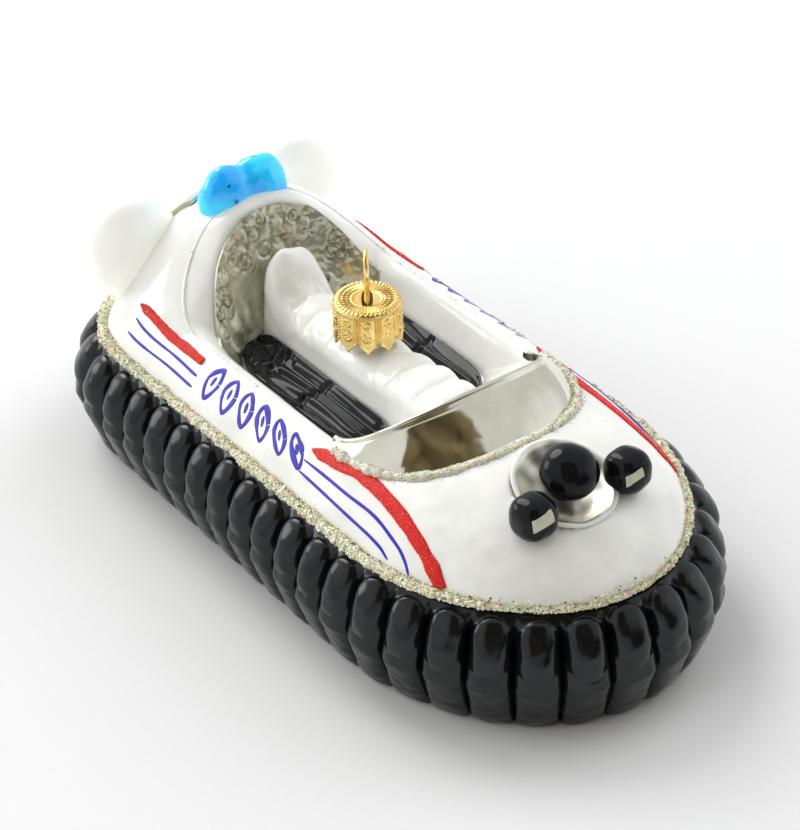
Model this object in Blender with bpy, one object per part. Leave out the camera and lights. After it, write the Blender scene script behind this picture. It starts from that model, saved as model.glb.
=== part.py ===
"""Hovercraft glass tree ornament.

A mould-blown, hand-painted glass figure of a small passenger hovercraft, with the
pressed gold cap and the wire hanger that such an ornament hangs by. The bow points
along -Y, the port side is +X, and the skirt's foot stands on Z = 0.

Every size is in millimetres. The meshes are written in metres.
"""
import math

import bmesh
import bpy
import numpy as np
from mathutils.bvhtree import BVHTree

MM = 0.001
GAP = 0.3

# Plan of the deck edge, a half ellipse at the bow and a squared oval at the stern
DECK_HALF_WIDTH = 31.7
DECK_HALF_LENGTH = 70.0
DECK_BOW_LENGTH = 40.3
DECK_STERN_LENGTH = 26.0
DECK_EDGE_Z = 24.7
DECK_BASE_Z = 23.8

# The inflated skirt, a ring of moulded fingers
FINGERS = 48
FINGER_SAMPLES = (0.0, 0.12, 0.36, 0.64, 0.88)
SKIRT_TOP_Z = 23.5
FOOT_INSET = 3.0
RECESS_INSET = 3.6
RECESS_Z = 2.0

# The coaming, which rises over the back of the cockpit as a hood
COAMING_HALF_WIDTH = 23.6
COAMING_FRONT_Y = -33.5
COAMING_REAR_Y = 47.5
COAMING_Z = 33.0
HOOD_RISE = 17.0
BROW_RISE = 3.9

# The cockpit mouth, inside the coaming's rounded lip and up against the windscreen's rim
MOUTH_HALF_WIDTH = 21.2
MOUTH_FRONT_Y = -24.0
MOUTH_FRONT_LENGTH = 12.0
MOUTH_REAR_Y = 42.7
MOUTH_Z = 31.8
MOUTH_HOOD_RISE = 17.3
MOUTH_HOOD_HALF_WIDTH = 19.4
MOUTH_SCREEN_RISE = 7.4

# The cockpit floor
FLOOR_HALF_WIDTH = 17.9
FLOOR_FRONT_Y = -10.5
FLOOR_REAR_Y = 35.5
FLOOR_Z = 26.0

# The neck, the cap and the wire, all on one upright axis
NECK_Y = 8.0
NECK_RADIUS = 4.6
NECK_BORE_RADIUS = 3.7
NECK_TOP_Z = 44.0
CAP_RADIUS = 6.6
CAP_WALL = 0.6
CAP_TOP_Z = 45.0
CAP_HEM_Z = 38.6
CAP_POINTS = 10
CAP_POINT_DROP = 2.4
WIRE_RADIUS = 0.5


def oval(half_width, front_y, rear_y, front_length, rear_length, powers, fractions):
    """Points along a closed oval, at fractions of its length from the bow round by +X."""
    front_power, rear_power = powers
    angle = np.linspace(0.0, math.pi / 2, 600)
    front_x = half_width * np.sin(angle) ** (2 / front_power)
    front = front_y + front_length * (1 - np.cos(angle) ** (2 / front_power))
    rear_x = half_width * np.sin(angle) ** (2 / rear_power)
    rear = rear_y - rear_length * (1 - np.cos(angle) ** (2 / rear_power))
    x = np.concatenate([front_x, rear_x[::-1]])
    y = np.concatenate([front, rear[::-1]])
    length = np.concatenate([[0.0], np.cumsum(np.hypot(np.diff(x), np.diff(y)))])
    fractions = np.asarray(fractions)
    half = np.where(fractions <= 0.5, 2 * fractions, 2 - 2 * fractions) * length[-1]
    side = np.where(fractions <= 0.5, 1.0, -1.0)
    return np.stack([side * np.interp(half, length, x), np.interp(half, length, y)], axis=1)


def outward(plan):
    """Unit normals of a closed plan curve that runs from the bow round by +X."""
    along = np.roll(plan, -1, axis=0) - np.roll(plan, 1, axis=0)
    along /= np.linalg.norm(along, axis=1)[:, None]
    return np.stack([along[:, 1], -along[:, 0]], axis=1)


def deck_edge(fractions):
    return oval(DECK_HALF_WIDTH, -DECK_HALF_LENGTH, DECK_HALF_LENGTH,
                DECK_BOW_LENGTH, DECK_STERN_LENGTH, (2.0, 2.6), fractions)


def edge_normals(fractions):
    """Unit normals of the deck edge at the given fractions of its length."""
    steps = 1000 * FINGERS
    normals = outward(deck_edge(np.arange(steps) / steps))
    return normals[np.rint(np.asarray(fractions) * steps).astype(int) % steps]


def level(plan, height):
    """A plan curve lifted to a height, or to one height for each point."""
    return np.column_stack([plan, np.broadcast_to(height, len(plan))])


def material(name, colour, roughness, metallic=0.0, alpha=1.0):
    paint = bpy.data.materials.new(name)
    paint.use_nodes = True
    shader = paint.node_tree.nodes["Principled BSDF"]
    shader.inputs["Base Color"].default_value = (*colour, 1.0)
    shader.inputs["Roughness"].default_value = roughness
    shader.inputs["Metallic"].default_value = metallic
    shader.inputs["Alpha"].default_value = alpha
    return paint


def piece(name, points, faces, paint, smooth_angle=40.0):
    """One named mesh object, from points in millimetres."""
    mesh = bpy.data.meshes.new(name)
    mesh.from_pydata((np.asarray(points) * MM).tolist(), [], faces)
    mesh.validate()
    turn_outward(mesh)
    mesh.shade_smooth()
    mesh.set_sharp_from_angle(angle=math.radians(smooth_angle))
    mesh.materials.append(paint)
    obj = bpy.data.objects.new(name, mesh)
    bpy.context.collection.objects.link(obj)
    return obj


def turn_outward(mesh):
    """Turns the faces of one closed body to point out."""
    work = bmesh.new()
    work.from_mesh(mesh)
    bmesh.ops.recalc_face_normals(work, faces=work.faces[:])
    if work.calc_volume(signed=True) < 0:
        bmesh.ops.reverse_faces(work, faces=work.faces[:])
    work.to_mesh(mesh)
    work.free()


def loft_faces(rings, count, closed):
    """Quads between rings of points, with a face at each end unless the loft is closed."""
    faces = []
    for ring in range(rings if closed else rings - 1):
        here = ring * count
        there = (ring + 1) % rings * count
        for k in range(count):
            after = (k + 1) % count
            faces.append((here + k, here + after, there + after, there + k))
    if not closed:
        faces.append(tuple(range(count))[::-1])
        faces.append(tuple(range((rings - 1) * count, rings * count)))
    return faces


def loft(name, rings, paint, closed=False, smooth_angle=40.0):
    rings = np.asarray(rings)
    faces = loft_faces(rings.shape[0], rings.shape[1], closed)
    return piece(name, rings.reshape(-1, 3), faces, paint, smooth_angle)


def trim(obj, cutter):
    """Cuts a piece back from its neighbour, for good, with an exact Boolean."""
    cut = obj.modifiers.new("Seat", "BOOLEAN")
    cut.operation = "DIFFERENCE"
    cut.solver = "EXACT"
    cut.object = cutter
    return cut


def guide(obj):
    """Marks an object as a cutter, which isn't part of the ornament."""
    obj.hide_render = True
    obj.display_type = "WIRE"
    return obj


def clear_scene():
    for obj in list(bpy.data.objects):
        bpy.data.objects.remove(obj)


# Paints and metals of the finished ornament
clear_scene()
BLACK = material("black_gloss", (0.012, 0.013, 0.015), 0.12)
PEARL = material("pearl_white", (0.86, 0.87, 0.84), 0.16)
SILVER = material("silvered_glass", (0.52, 0.52, 0.48), 0.1, metallic=1.0)
GLITTER = material("champagne_glitter", (0.72, 0.69, 0.58), 0.35, metallic=0.4)
BLUE = material("beacon_blue", (0.05, 0.42, 0.86), 0.08)
WHITE_GLASS = material("milk_white_glass", (0.93, 0.93, 0.9), 0.2)
GOLD = material("gilt_brass", (0.83, 0.58, 0.22), 0.28, metallic=1.0)
CLEAR_GLASS = material("clear_glass", (0.9, 0.93, 0.92), 0.05, alpha=0.4)


# The skirt: every finger bulges between two valleys, and turns in below an edge near its middle
SKIRT_ROWS = (
    # offset from the deck edge, depth of the valleys, height
    (-0.8, 0.0, SKIRT_TOP_Z),
    (1.6, 0.5, SKIRT_TOP_Z),
    (4.2, 1.5, 21.8),
    (6.6, 2.1, 18.0),
    (7.3, 2.1, 12.4),
    (7.2, 2.0, 10.4),
    (5.8, 1.8, 6.0),
    (4.6, 1.4, 2.6),
    (3.4, 1.0, 0.7),
    (2.2, 0.6, 0.0),
)
skirt_fractions = np.array([(finger + sample) / FINGERS
                            for finger in range(FINGERS) for sample in FINGER_SAMPLES])
skirt_plan = deck_edge(skirt_fractions)
skirt_out = edge_normals(skirt_fractions)
valley = np.tile(np.abs(2 * np.array(FINGER_SAMPLES) - 1) ** 3, FINGERS)
skirt_rings = [level(skirt_plan + skirt_out * (offset - depth * valley)[:, None], height)
               for offset, depth, height in SKIRT_ROWS]
skirt_rings.append(level(skirt_plan - skirt_out * FOOT_INSET, 0.0))
skirt_rings.append(level(skirt_plan - skirt_out * RECESS_INSET, RECESS_Z))
loft("skirt", skirt_rings, BLACK, smooth_angle=50.0)


# The underside, a plain flat panel inside the foot
loft("underside_panel", [level(skirt_plan - skirt_out * (RECESS_INSET + GAP), height)
                         for height in (0.7, RECESS_Z - GAP)], BLACK)

# The coarse glitter laid in the joint between skirt and deck, as (offset, height) round its section
GLITTER_SECTION = ((0.0, 23.8), (2.2, 23.8), (2.5, 24.4), (1.7, 25.0), (0.6, 25.3), (-0.05, 25.0))
band_fractions = np.arange(2 * FINGERS) / (2 * FINGERS)
band_plan = deck_edge(band_fractions)
band_out = edge_normals(band_fractions)
loft("skirt_glitter", [level(band_plan + band_out * offset, height)
                       for offset, height in GLITTER_SECTION], GLITTER, closed=True)


def arched(x, half_width, base, rise, power):
    """Height of the hood's arch at a distance from the middle plane."""
    return base + rise * (1 - np.clip(np.abs(x) / half_width, 0, 1) ** power)


def coaming(fractions):
    """The crest of the coaming: low at the sides, up at the screen, high over the hood."""
    plan = oval(COAMING_HALF_WIDTH, COAMING_FRONT_Y, COAMING_REAR_Y, 23.5, 17.5, (2.2, 2.5), fractions)
    x, y = plan.T
    hood = arched(x, COAMING_HALF_WIDTH, COAMING_Z, HOOD_RISE, 2.1)
    brow = arched(x, COAMING_HALF_WIDTH, COAMING_Z, BROW_RISE, 2.0)
    return level(plan, np.where(y > 5.0, hood, brow))


def mouth(fractions):
    """The inner edge of the coaming's lip: arched under the hood, and up to the screen's rim."""
    plan = oval(MOUTH_HALF_WIDTH, MOUTH_FRONT_Y, MOUTH_REAR_Y, MOUTH_FRONT_LENGTH, 22.0, (3.0, 2.4), fractions)
    x, y = plan.T
    hood = arched(x, MOUTH_HOOD_HALF_WIDTH, MOUTH_Z, MOUTH_HOOD_RISE, 2.6)
    forward = np.clip((MOUTH_FRONT_Y + MOUTH_FRONT_LENGTH - y) / MOUTH_FRONT_LENGTH, 0, 1)
    return level(plan, np.where(y > 5.0, hood, MOUTH_Z + MOUTH_SCREEN_RISE * forward))


def floor_edge(fractions):
    """The foot of the cockpit wall."""
    plan = oval(FLOOR_HALF_WIDTH, FLOOR_FRONT_Y, FLOOR_REAR_Y, 10.0, 14.0, (3.0, 2.4), fractions)
    return level(plan, FLOOR_Z)


def fullness(fractions):
    """How quickly the deck rises from its edge: fast at bow and stern, slowly at the stern's corners."""
    along = 1 - np.abs(1 - 2 * np.asarray(fractions))
    return np.interp(along, (0.0, 0.3, 0.6, 0.8, 0.92, 1.0), (0.6, 0.75, 0.85, 1.0, 0.6, 0.42))


def deck_rings(fractions, lift=0.0):
    """Rings over the deck, from its edge up to the coaming and down to the cockpit floor."""
    edge = level(deck_edge(fractions) - edge_normals(fractions) * (0.35 - lift), DECK_EDGE_Z)
    crest = coaming(fractions)
    lip = mouth(fractions)
    foot = floor_edge(fractions)
    foot[:, 2] += lift
    rings = []
    for share in (0.0, 0.1, 0.24, 0.42, 0.62, 0.82):
        ring = edge + (crest - edge) * share
        rise = math.sin(share * math.pi / 2) ** fullness(fractions)
        ring[:, 2] = edge[:, 2] + (crest[:, 2] - edge[:, 2]) * rise
        ring[:, 2] += lift if share else 0.0
        rings.append(ring)
    for share, crown in ((0.0, 0.0), (0.5, 0.35)):
        ring = crest + (lip - crest) * share
        ring[:, 2] += crown + lift
        rings.append(ring)
    for share, sag in ((0.0, 0.0), (0.3, 0.0), (0.65, 0.0), (0.92, 0.15), (1.0, 0.0)):
        ring = lip + (foot - lip) * share
        ring[:, 2] -= sag
        rings.append(ring)
    return rings


DECK_COUNT = 2 * FINGERS
deck_fractions = np.arange(DECK_COUNT) / DECK_COUNT
base_ring = level(deck_edge(deck_fractions) - edge_normals(deck_fractions) * 0.5, DECK_BASE_Z)
deck = loft("deck", [base_ring] + deck_rings(deck_fractions), PEARL)
deck_guide = guide(loft("deck_guide", [base_ring + (0, 0, -1.0)] + deck_rings(deck_fractions, GAP), PEARL))

# The moulded bench along the middle of the cockpit, as (y, half-width, top height) of its sections
BENCH_STATIONS = (
    (-22.0, 5.0, 36.8),
    (-17.0, 6.0, 37.2),
    (-9.0, 6.4, 36.4),
    (-1.0, 6.6, 35.2),
    (2.0, 6.8, 34.9),
    (14.0, 6.8, 34.9),
    (18.0, 6.9, 36.8),
    (22.0, 6.9, 40.5),
    (27.0, 6.8, 43.5),
    (31.0, 6.3, 43.2),
    (34.0, 5.2, 40.5),
    (36.0, 3.4, 36.0),
)
BENCH_FLARE = 0.8


def bench_section(y, half_width, top, count=9):
    """A rounded arch that spreads at its foot, closed along the floor."""
    base = FLOOR_Z + GAP
    angle = np.linspace(0, math.pi, count)
    x = half_width * np.sign(np.cos(angle)) * np.abs(np.cos(angle)) ** 0.6
    z = top - 4.5 + 4.5 * np.sin(angle) ** 0.8
    x = np.concatenate([[half_width + BENCH_FLARE], x, [-half_width - BENCH_FLARE]])
    z = np.concatenate([[base], z, [base]])
    return np.stack([x, np.full(len(x), y), z], axis=1)


bench = loft("bench", [bench_section(*row) for row in BENCH_STATIONS], PEARL)
trim(bench, deck_guide)


def turned(name, profile, paint, centre=(0.0, NECK_Y), sides=32, closed=False):
    """A round piece about an upright axis, from (radius, height) down or up its side."""
    angle = np.arange(sides) / sides * 2 * math.pi
    rings = [np.stack([centre[0] + radius * np.cos(angle), centre[1] + radius * np.sin(angle),
                       np.full(sides, height)], axis=1) for radius, height in profile]
    return loft(name, rings, paint, closed=closed)


# The glass neck stands in the bench, with the wire's legs in its bore
NECK_FOOT_Z = 30.0
neck_bore = guide(turned("neck_bore", ((NECK_BORE_RADIUS, FLOOR_Z - 1), (NECK_BORE_RADIUS, NECK_TOP_Z + 5)), PEARL))
neck_seat = guide(turned("neck_seat", ((NECK_RADIUS + GAP, NECK_FOOT_Z - GAP), (NECK_RADIUS + GAP, 60)), PEARL))
trim(bench, neck_bore)
trim(bench, neck_seat)
turned("neck", ((NECK_BORE_RADIUS, NECK_FOOT_Z), (NECK_RADIUS, NECK_FOOT_Z), (NECK_RADIUS, NECK_TOP_Z),
                (NECK_BORE_RADIUS, NECK_TOP_Z)), CLEAR_GLASS, closed=True)

# The pressed cap: a can with a slot in its crown and a hem cut into points
SLOT_HALF_LENGTH = 2.9
SLOT_HALF_WIDTH = 1.1
CAP_TURN = math.radians(-36.0)
CAP_SAMPLES = 8
cap_count = CAP_POINTS * CAP_SAMPLES
cap_angle = (np.arange(cap_count) + 0.5) / cap_count * 2 * math.pi
point_phase = (cap_angle * CAP_POINTS / (2 * math.pi)) % 1.0
hem = CAP_HEM_Z - CAP_POINT_DROP * (1 - np.abs(2 * point_phase - 1))


def cap_ring(radius, height):
    return np.stack([radius * np.cos(cap_angle), NECK_Y + radius * np.sin(cap_angle),
                     np.broadcast_to(height, cap_count)], axis=1)


def turned_about_neck(x, y, z):
    """Points about the neck's axis, turned with the cap as it sits on the neck."""
    return np.stack([x * math.cos(CAP_TURN) - y * math.sin(CAP_TURN),
                     NECK_Y + x * math.sin(CAP_TURN) + y * math.cos(CAP_TURN), z], axis=1)


def slot_ring(height):
    """The slot's outline, a bar with round ends, met by the same angles."""
    angle = cap_angle - CAP_TURN
    return turned_about_neck(np.cos(angle) * SLOT_HALF_WIDTH,
                             np.sign(np.sin(angle)) * np.abs(np.sin(angle)) ** 0.7 * SLOT_HALF_LENGTH,
                             np.full(cap_count, height))


CAP_INNER = CAP_RADIUS - CAP_WALL
loft("crown_cap", [cap_ring(CAP_RADIUS + 0.15, hem), cap_ring(CAP_RADIUS, CAP_HEM_Z + 1.0),
                   cap_ring(CAP_RADIUS, CAP_TOP_Z - 0.6), cap_ring(CAP_RADIUS - 0.5, CAP_TOP_Z),
                   slot_ring(CAP_TOP_Z), slot_ring(CAP_TOP_Z - CAP_WALL),
                   cap_ring(CAP_INNER, CAP_TOP_Z - CAP_WALL), cap_ring(CAP_INNER, CAP_HEM_Z + 1.0),
                   cap_ring(CAP_INNER + 0.15, hem)], GOLD, closed=True)


def tube(name, route, radius, paint, sides=8, flat=1.0):
    """A rod along a route of points, with flat ends."""
    route = np.asarray(route, float)
    along = np.gradient(route, axis=0)
    along /= np.linalg.norm(along, axis=1)[:, None]
    side = np.cross(along[0], (0.31, 0.52, 0.79))
    rings = []
    angle = np.arange(sides) / sides * 2 * math.pi
    for point, heading in zip(route, along):
        side = side - heading * np.dot(side, heading)
        side /= np.linalg.norm(side)
        third = np.cross(heading, side)
        rings.append(point + radius * (np.cos(angle)[:, None] * side + np.sin(angle)[:, None] * third))
    return loft(name, rings, paint)


# The spring wire: a loop above the cap and two legs down the neck, in a plane along the slot
LOOP_RADIUS = 2.6
LOOP_TOP_Z = 54.2
LEG_HALF_SPREAD = 1.6
LEG_FOOT_Z = 33.5
loop_centre_z = LOOP_TOP_Z - LOOP_RADIUS
loop_angle = np.radians(np.linspace(-50, 230, 17))
loop_y = LOOP_RADIUS * np.cos(loop_angle)
loop_z = loop_centre_z + LOOP_RADIUS * np.sin(loop_angle)
LOOP_LEAN = 0.14
leg_z = np.array([LEG_FOOT_Z, 39.0, CAP_TOP_Z - 1.0, CAP_TOP_Z + 1.5])
leg_y = np.array([2.6, 2.1, LEG_HALF_SPREAD - 0.2, LEG_HALF_SPREAD - 0.5])
wire_y = np.concatenate([leg_y, loop_y, -leg_y[::-1]])
wire_z = np.concatenate([leg_z, loop_z, leg_z[::-1]])
wire_y = wire_y + LOOP_LEAN * np.clip(wire_z - CAP_TOP_Z, 0, None)
tube("wire_hanger", turned_about_neck(np.zeros(len(wire_y)), wire_y, wire_z), WIRE_RADIUS, GOLD)

deck_points = np.concatenate([base_ring] + deck_rings(deck_fractions))
deck_faces = loft_faces(len(deck_points) // DECK_COUNT, DECK_COUNT, closed=False)
deck_tree = BVHTree.FromPolygons(deck_points.tolist(), deck_faces)


def on_deck(x, y):
    """Heights of the deck below the given places."""
    return np.array([deck_tree.ray_cast((px, py, 90.0), (0, 0, -1))[0][2] for px, py in zip(x, y)])


def slab(name, grid, lift, thickness, paint, smooth_angle=40.0):
    """A sheet of even thickness over a grid of points, raised from it along its normals."""
    grid = np.asarray(grid)
    normal = np.cross(np.gradient(grid, axis=1), np.gradient(grid, axis=0))
    normal /= np.linalg.norm(normal, axis=2)[:, :, None]
    rows, count = grid.shape[:2]
    near, far = grid + normal * lift, grid + normal * (lift + thickness)
    rings = [np.concatenate([near[row], far[row][::-1]]) for row in range(rows)]
    return loft(name, rings, paint, smooth_angle=smooth_angle)


# The silvered wall at the back of the cockpit, under the hood
LINER_HALF_SHARE = 0.15
LINER_THICKNESS = 0.6


def liner_grid(half_share, shares):
    """Rows of points down the cockpit's rear wall, from side to side."""
    fractions = 0.5 + np.linspace(-half_share, half_share, 33)
    lip, foot = mouth(fractions), floor_edge(fractions)
    return [lip + (foot - lip) * share for share in shares]


slab("cockpit_liner", liner_grid(LINER_HALF_SHARE, (0.02, 0.33, 0.66, 0.97)), GAP, LINER_THICKNESS, SILVER)
liner_room = liner_grid(LINER_HALF_SHARE + 0.01, (0.0, 0.33, 0.66, 1.0))
trim(bench, guide(slab("liner_guide", liner_room, 0.0, LINER_THICKNESS + 2 * GAP, SILVER)))

# The black ribbed mats in the footwells, dished between raised edges, as (y, inner x, outer x)
MAT_STATIONS = (
    (-8.6, 9.6, 13.0),
    (-7.4, 8.2, 15.2),
    (-4.0, 7.9, 16.8),
    (2.0, 7.9, 17.4),
    (20.0, 7.9, 17.4),
    (27.0, 7.9, 16.2),
    (31.0, 8.3, 13.6),
    (32.2, 9.2, 11.4),
)
MAT_BASE_Z = FLOOR_Z + GAP
MAT_HEIGHTS = (1.7, 2.1, 1.0, 1.0, 1.3)
MAT_END_HEIGHTS = (0.9, 1.2, 1.3, 1.3, 1.0)
for side, side_name in ((-1, "starboard"), (1, "port")):
    sections = []
    for station, (y, inner, outer) in enumerate(MAT_STATIONS):
        at_end = station in (0, len(MAT_STATIONS) - 1)
        x = np.array([inner, inner, inner + 0.7, inner + 1.5, outer - 0.9, outer, outer])
        z = MAT_BASE_Z + np.array([0.0, *(MAT_END_HEIGHTS if at_end else MAT_HEIGHTS), 0.0])
        sections.append(np.stack([side * x, np.full(len(x), y), z], axis=1))
    loft(f"foot_mat_{side_name}", sections, BLACK)

# The silvered windscreen: a wave of glass that bulges up from a curved foot to a rounded rim, and
# falls behind it to the cockpit's lip
SCREEN_WALL = 1.6
SCREEN_SINK = 1.0
SCREEN_BEND = 0.75
SCREEN_COUNT = 31
SCREEN_FOOT_FRONT_Y = -37.1
SCREEN_FOOT_LENGTH = 23.1
SCREEN_RIM_FRONT_Y = -27.0
SCREEN_RIM_LENGTH = 15.0
SCREEN_RIM_Z = 33.7
SCREEN_RIM_RISE = 9.5
SCREEN_RIM_POWER = 1.4
SCREEN_LIP_FRONT_Y = -24.7
SCREEN_LIP_LENGTH = 12.5


def front_arc(half_width, front_y, length, power):
    """Evenly spaced points round the front of an oval, from starboard to port, as x and y."""
    angle = np.linspace(-math.pi / 2, math.pi / 2, 601)
    x = half_width * np.sign(angle) * np.abs(np.sin(angle)) ** (2 / power)
    y = front_y + length * (1 - np.abs(np.cos(angle)) ** (2 / power))
    travel = np.concatenate([[0.0], np.cumsum(np.hypot(np.diff(x), np.diff(y)))])
    even = np.linspace(0.0, travel[-1], SCREEN_COUNT)
    return np.interp(even, travel, x), np.interp(even, travel, y)


foot_x, foot_y = front_arc(25.7, SCREEN_FOOT_FRONT_Y, SCREEN_FOOT_LENGTH, 2.2)
screen_foot = np.stack([foot_x, foot_y, on_deck(foot_x, foot_y) - 0.6], axis=1)
rim_x, rim_y = front_arc(22.5, SCREEN_RIM_FRONT_Y, SCREEN_RIM_LENGTH, 2.6)
rim_ahead = np.clip((SCREEN_RIM_FRONT_Y + SCREEN_RIM_LENGTH - rim_y) / SCREEN_RIM_LENGTH, 0, 1)
screen_rim = np.stack([rim_x, rim_y, SCREEN_RIM_Z + SCREEN_RIM_RISE * rim_ahead ** SCREEN_RIM_POWER], axis=1)
lip_x, lip_y = front_arc(21.6, SCREEN_LIP_FRONT_Y, SCREEN_LIP_LENGTH, 3.0)
screen_lip = np.stack([lip_x, lip_y, on_deck(lip_x, lip_y) - SCREEN_SINK], axis=1)


def screen_row(share):
    """The screen's points at a share of the way up from its foot, on a bulging curve."""
    turn = share * math.pi / 2
    inward = (1 - SCREEN_BEND) * share + SCREEN_BEND * (1 - math.cos(turn))
    upward = (1 - SCREEN_BEND) * share + SCREEN_BEND * math.sin(turn)
    row = screen_foot + (screen_rim - screen_foot) * inward
    row[:, 2] = screen_foot[:, 2] + (screen_rim[:, 2] - screen_foot[:, 2]) * upward
    return row


screen_grid = [screen_row(share) for share in (0.0, 0.2, 0.45, 0.72, 1.0)]
rim_back = screen_rim + (screen_lip - screen_rim) * np.array([0.3, 0.3, 0.08])
screen_foot_below = screen_foot - (0, 0, SCREEN_SINK)
screen_sections = np.stack([screen_foot_below, *screen_grid, rim_back, screen_lip], axis=1)
screen = loft("windscreen", screen_sections, SILVER)
trim(screen, deck_guide)
screen_guide = guide(slab("windscreen_guide", screen_grid, -SCREEN_WALL, SCREEN_WALL + 1.3 * GAP, SILVER))

# The fine glitter along the foot of the windscreen
glitter_x, glitter_y = front_arc(26.2, SCREEN_FOOT_FRONT_Y - 0.7, SCREEN_FOOT_LENGTH, 2.2)
foot_route = np.stack([glitter_x, glitter_y, on_deck(glitter_x, glitter_y) + 0.6], axis=1)
screen_glitter = tube("windscreen_glitter", foot_route[1:-1], 1.1, GLITTER)
trim(screen_glitter, deck_guide)
trim(screen_glitter, screen_guide)

# The fine glitter over the hood's ridge
HOOD_GLITTER_HALF_SHARE = 0.235
ridge_fractions = 0.5 + np.linspace(-HOOD_GLITTER_HALF_SHARE, HOOD_GLITTER_HALF_SHARE, 41)
ridge_route = coaming(ridge_fractions) + (0, 0, 0.5)
trim(tube("hood_glitter", ridge_route, 0.9, GLITTER, sides=6), deck_guide)
ridge_guide = guide(tube("ridge_guide", ridge_route, 0.9 + 1.3 * GAP, GLITTER, sides=6))

# The bow's silvered dish, sunk in the slope of the deck
DISH_CENTRE = np.array([0.0, -50.2, 35.6])
DISH_TILT = math.radians(20.0)
DISH_RADIUS = 9.4
DISH_DEPTH = 3.6
DISH_WALL = 0.8
dish_curve = (DISH_RADIUS ** 2 + DISH_DEPTH ** 2) / (2 * DISH_DEPTH)


def tilted(name, profile, paint, origin, sides=32):
    """A round piece about the dish's axis, from (radius, height) measured at an origin."""
    angle = np.arange(sides) / sides * 2 * math.pi
    rings = []
    for radius, height in profile:
        x, y = radius * np.cos(angle), radius * np.sin(angle)
        turned_y = y * math.cos(DISH_TILT) - height * math.sin(DISH_TILT)
        turned_z = y * math.sin(DISH_TILT) + height * math.cos(DISH_TILT)
        rings.append(np.asarray(origin) + np.stack([x, turned_y, turned_z], axis=1))
    return loft(name, rings, paint)


def bowl(wall, radii):
    """The dish's section at a distance inside its hollow: (radius, height) from the middle out."""
    curve = dish_curve - wall
    return [(radius, dish_curve - DISH_DEPTH - math.sqrt(curve ** 2 - radius ** 2)) for radius in radii]


DISH_RIM_HEIGHT = 0.5
dish_edge = DISH_RADIUS - 0.5
dish_lip = dish_edge - DISH_WALL
dish_rise = np.array([0.0, -math.sin(DISH_TILT), math.cos(DISH_TILT)])
dish_hole = bowl(0.0, (1.0, 4.0, 7.0, DISH_RADIUS)) + [(DISH_RADIUS, 6.0)]
dish_cutter = guide(tilted("dish_cutter", dish_hole, PEARL, DISH_CENTRE))
trim(deck, dish_cutter)
dish_outer = bowl(GAP, (1.0, 4.0, 7.0, dish_edge))
dish_inner = bowl(GAP + DISH_WALL, (1.0, 4.0, 6.6, dish_lip))
dish_rim = [(dish_edge, DISH_RIM_HEIGHT), (dish_lip, DISH_RIM_HEIGHT)]
dish = tilted("bow_dish", dish_outer + dish_rim + dish_inner[::-1], SILVER, DISH_CENTRE)

# The black ball in the dish, a little flattened along its axis, on a short stem
BALL_RADIUS = 5.6
BALL_HALF_HEIGHT = 4.4
BALL_STEM_RADIUS = 2.6
BALL_CENTRE_HEIGHT = 3.2
ball_centre = DISH_CENTRE + dish_rise * BALL_CENTRE_HEIGHT
ball_foot = DISH_WALL + 2.5 * GAP - DISH_DEPTH - BALL_CENTRE_HEIGHT
ball_profile = [(BALL_STEM_RADIUS, ball_foot)]
ball_profile += [(BALL_RADIUS * math.sin(angle), -BALL_HALF_HEIGHT * math.cos(angle))
                 for angle in np.radians(np.linspace(30, 174, 12))]
tilted("bow_ball", ball_profile, BLACK, ball_centre, sides=24)

# The two black bow lamps, each a rounded block beside the dish
LAMP_X = 10.7
LAMP_Y = -54.6
LAMP_Z = 36.0
LAMP_HALF = 3.95


def rounded_block(name, centre, halves, power, paint, count=10, sides=20):
    """A superellipsoid: rings of latitude whose radius and height follow one power."""
    centre, halves = np.asarray(centre, float), np.asarray(halves, float)
    around = np.arange(sides) / sides * 2 * math.pi
    rings = []
    for latitude in np.linspace(-1.45, 1.45, count):
        width = math.cos(latitude) ** power
        height = math.copysign(abs(math.sin(latitude)) ** power, latitude)
        x = np.sign(np.cos(around)) * np.abs(np.cos(around)) ** power * width
        y = np.sign(np.sin(around)) * np.abs(np.sin(around)) ** power * width
        rings.append(centre + halves * np.stack([x, y, np.full(sides, height)], axis=1))
    return loft(name, rings, paint)


for side, side_name in ((-1, "starboard"), (1, "port")):
    centre = (side * LAMP_X, LAMP_Y, LAMP_Z)
    lamp = rounded_block(f"bow_lamp_{side_name}", centre, (LAMP_HALF, LAMP_HALF, LAMP_HALF), 0.75, BLACK)
    trim(lamp, deck_guide)
    dish_room = guide(rounded_block(f"lamp_room_{side_name}", centre, (LAMP_HALF + GAP,) * 3, 0.75, BLACK))
    trim(dish, dish_room)

# The blue beacon across the top of the hood, as (x, half-depth, top height) of its sections
BEACON_Y = 49.6
BEACON_STATIONS = (
    (-9.6, 1.6, 51.0),
    (-8.2, 3.1, 53.6),
    (-4.8, 4.3, 56.1),
    (-1.6, 4.1, 55.9),
    (0.0, 3.9, 55.4),
    (1.6, 4.1, 55.8),
    (4.8, 4.3, 55.9),
    (8.2, 3.1, 53.6),
    (9.6, 1.6, 51.0),
)
BEACON_CORE_Z = 48.0
beacon_angle = np.arange(16) / 16 * 2 * math.pi
beacon = loft("beacon", [np.stack([np.full(16, x), BEACON_Y + depth * np.cos(beacon_angle),
                                   BEACON_CORE_Z + (top - BEACON_CORE_Z) * np.sin(beacon_angle)], axis=1)
                         for x, depth, top in BEACON_STATIONS], BLUE)
trim(beacon, deck_guide)
trim(beacon, ridge_guide)

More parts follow.
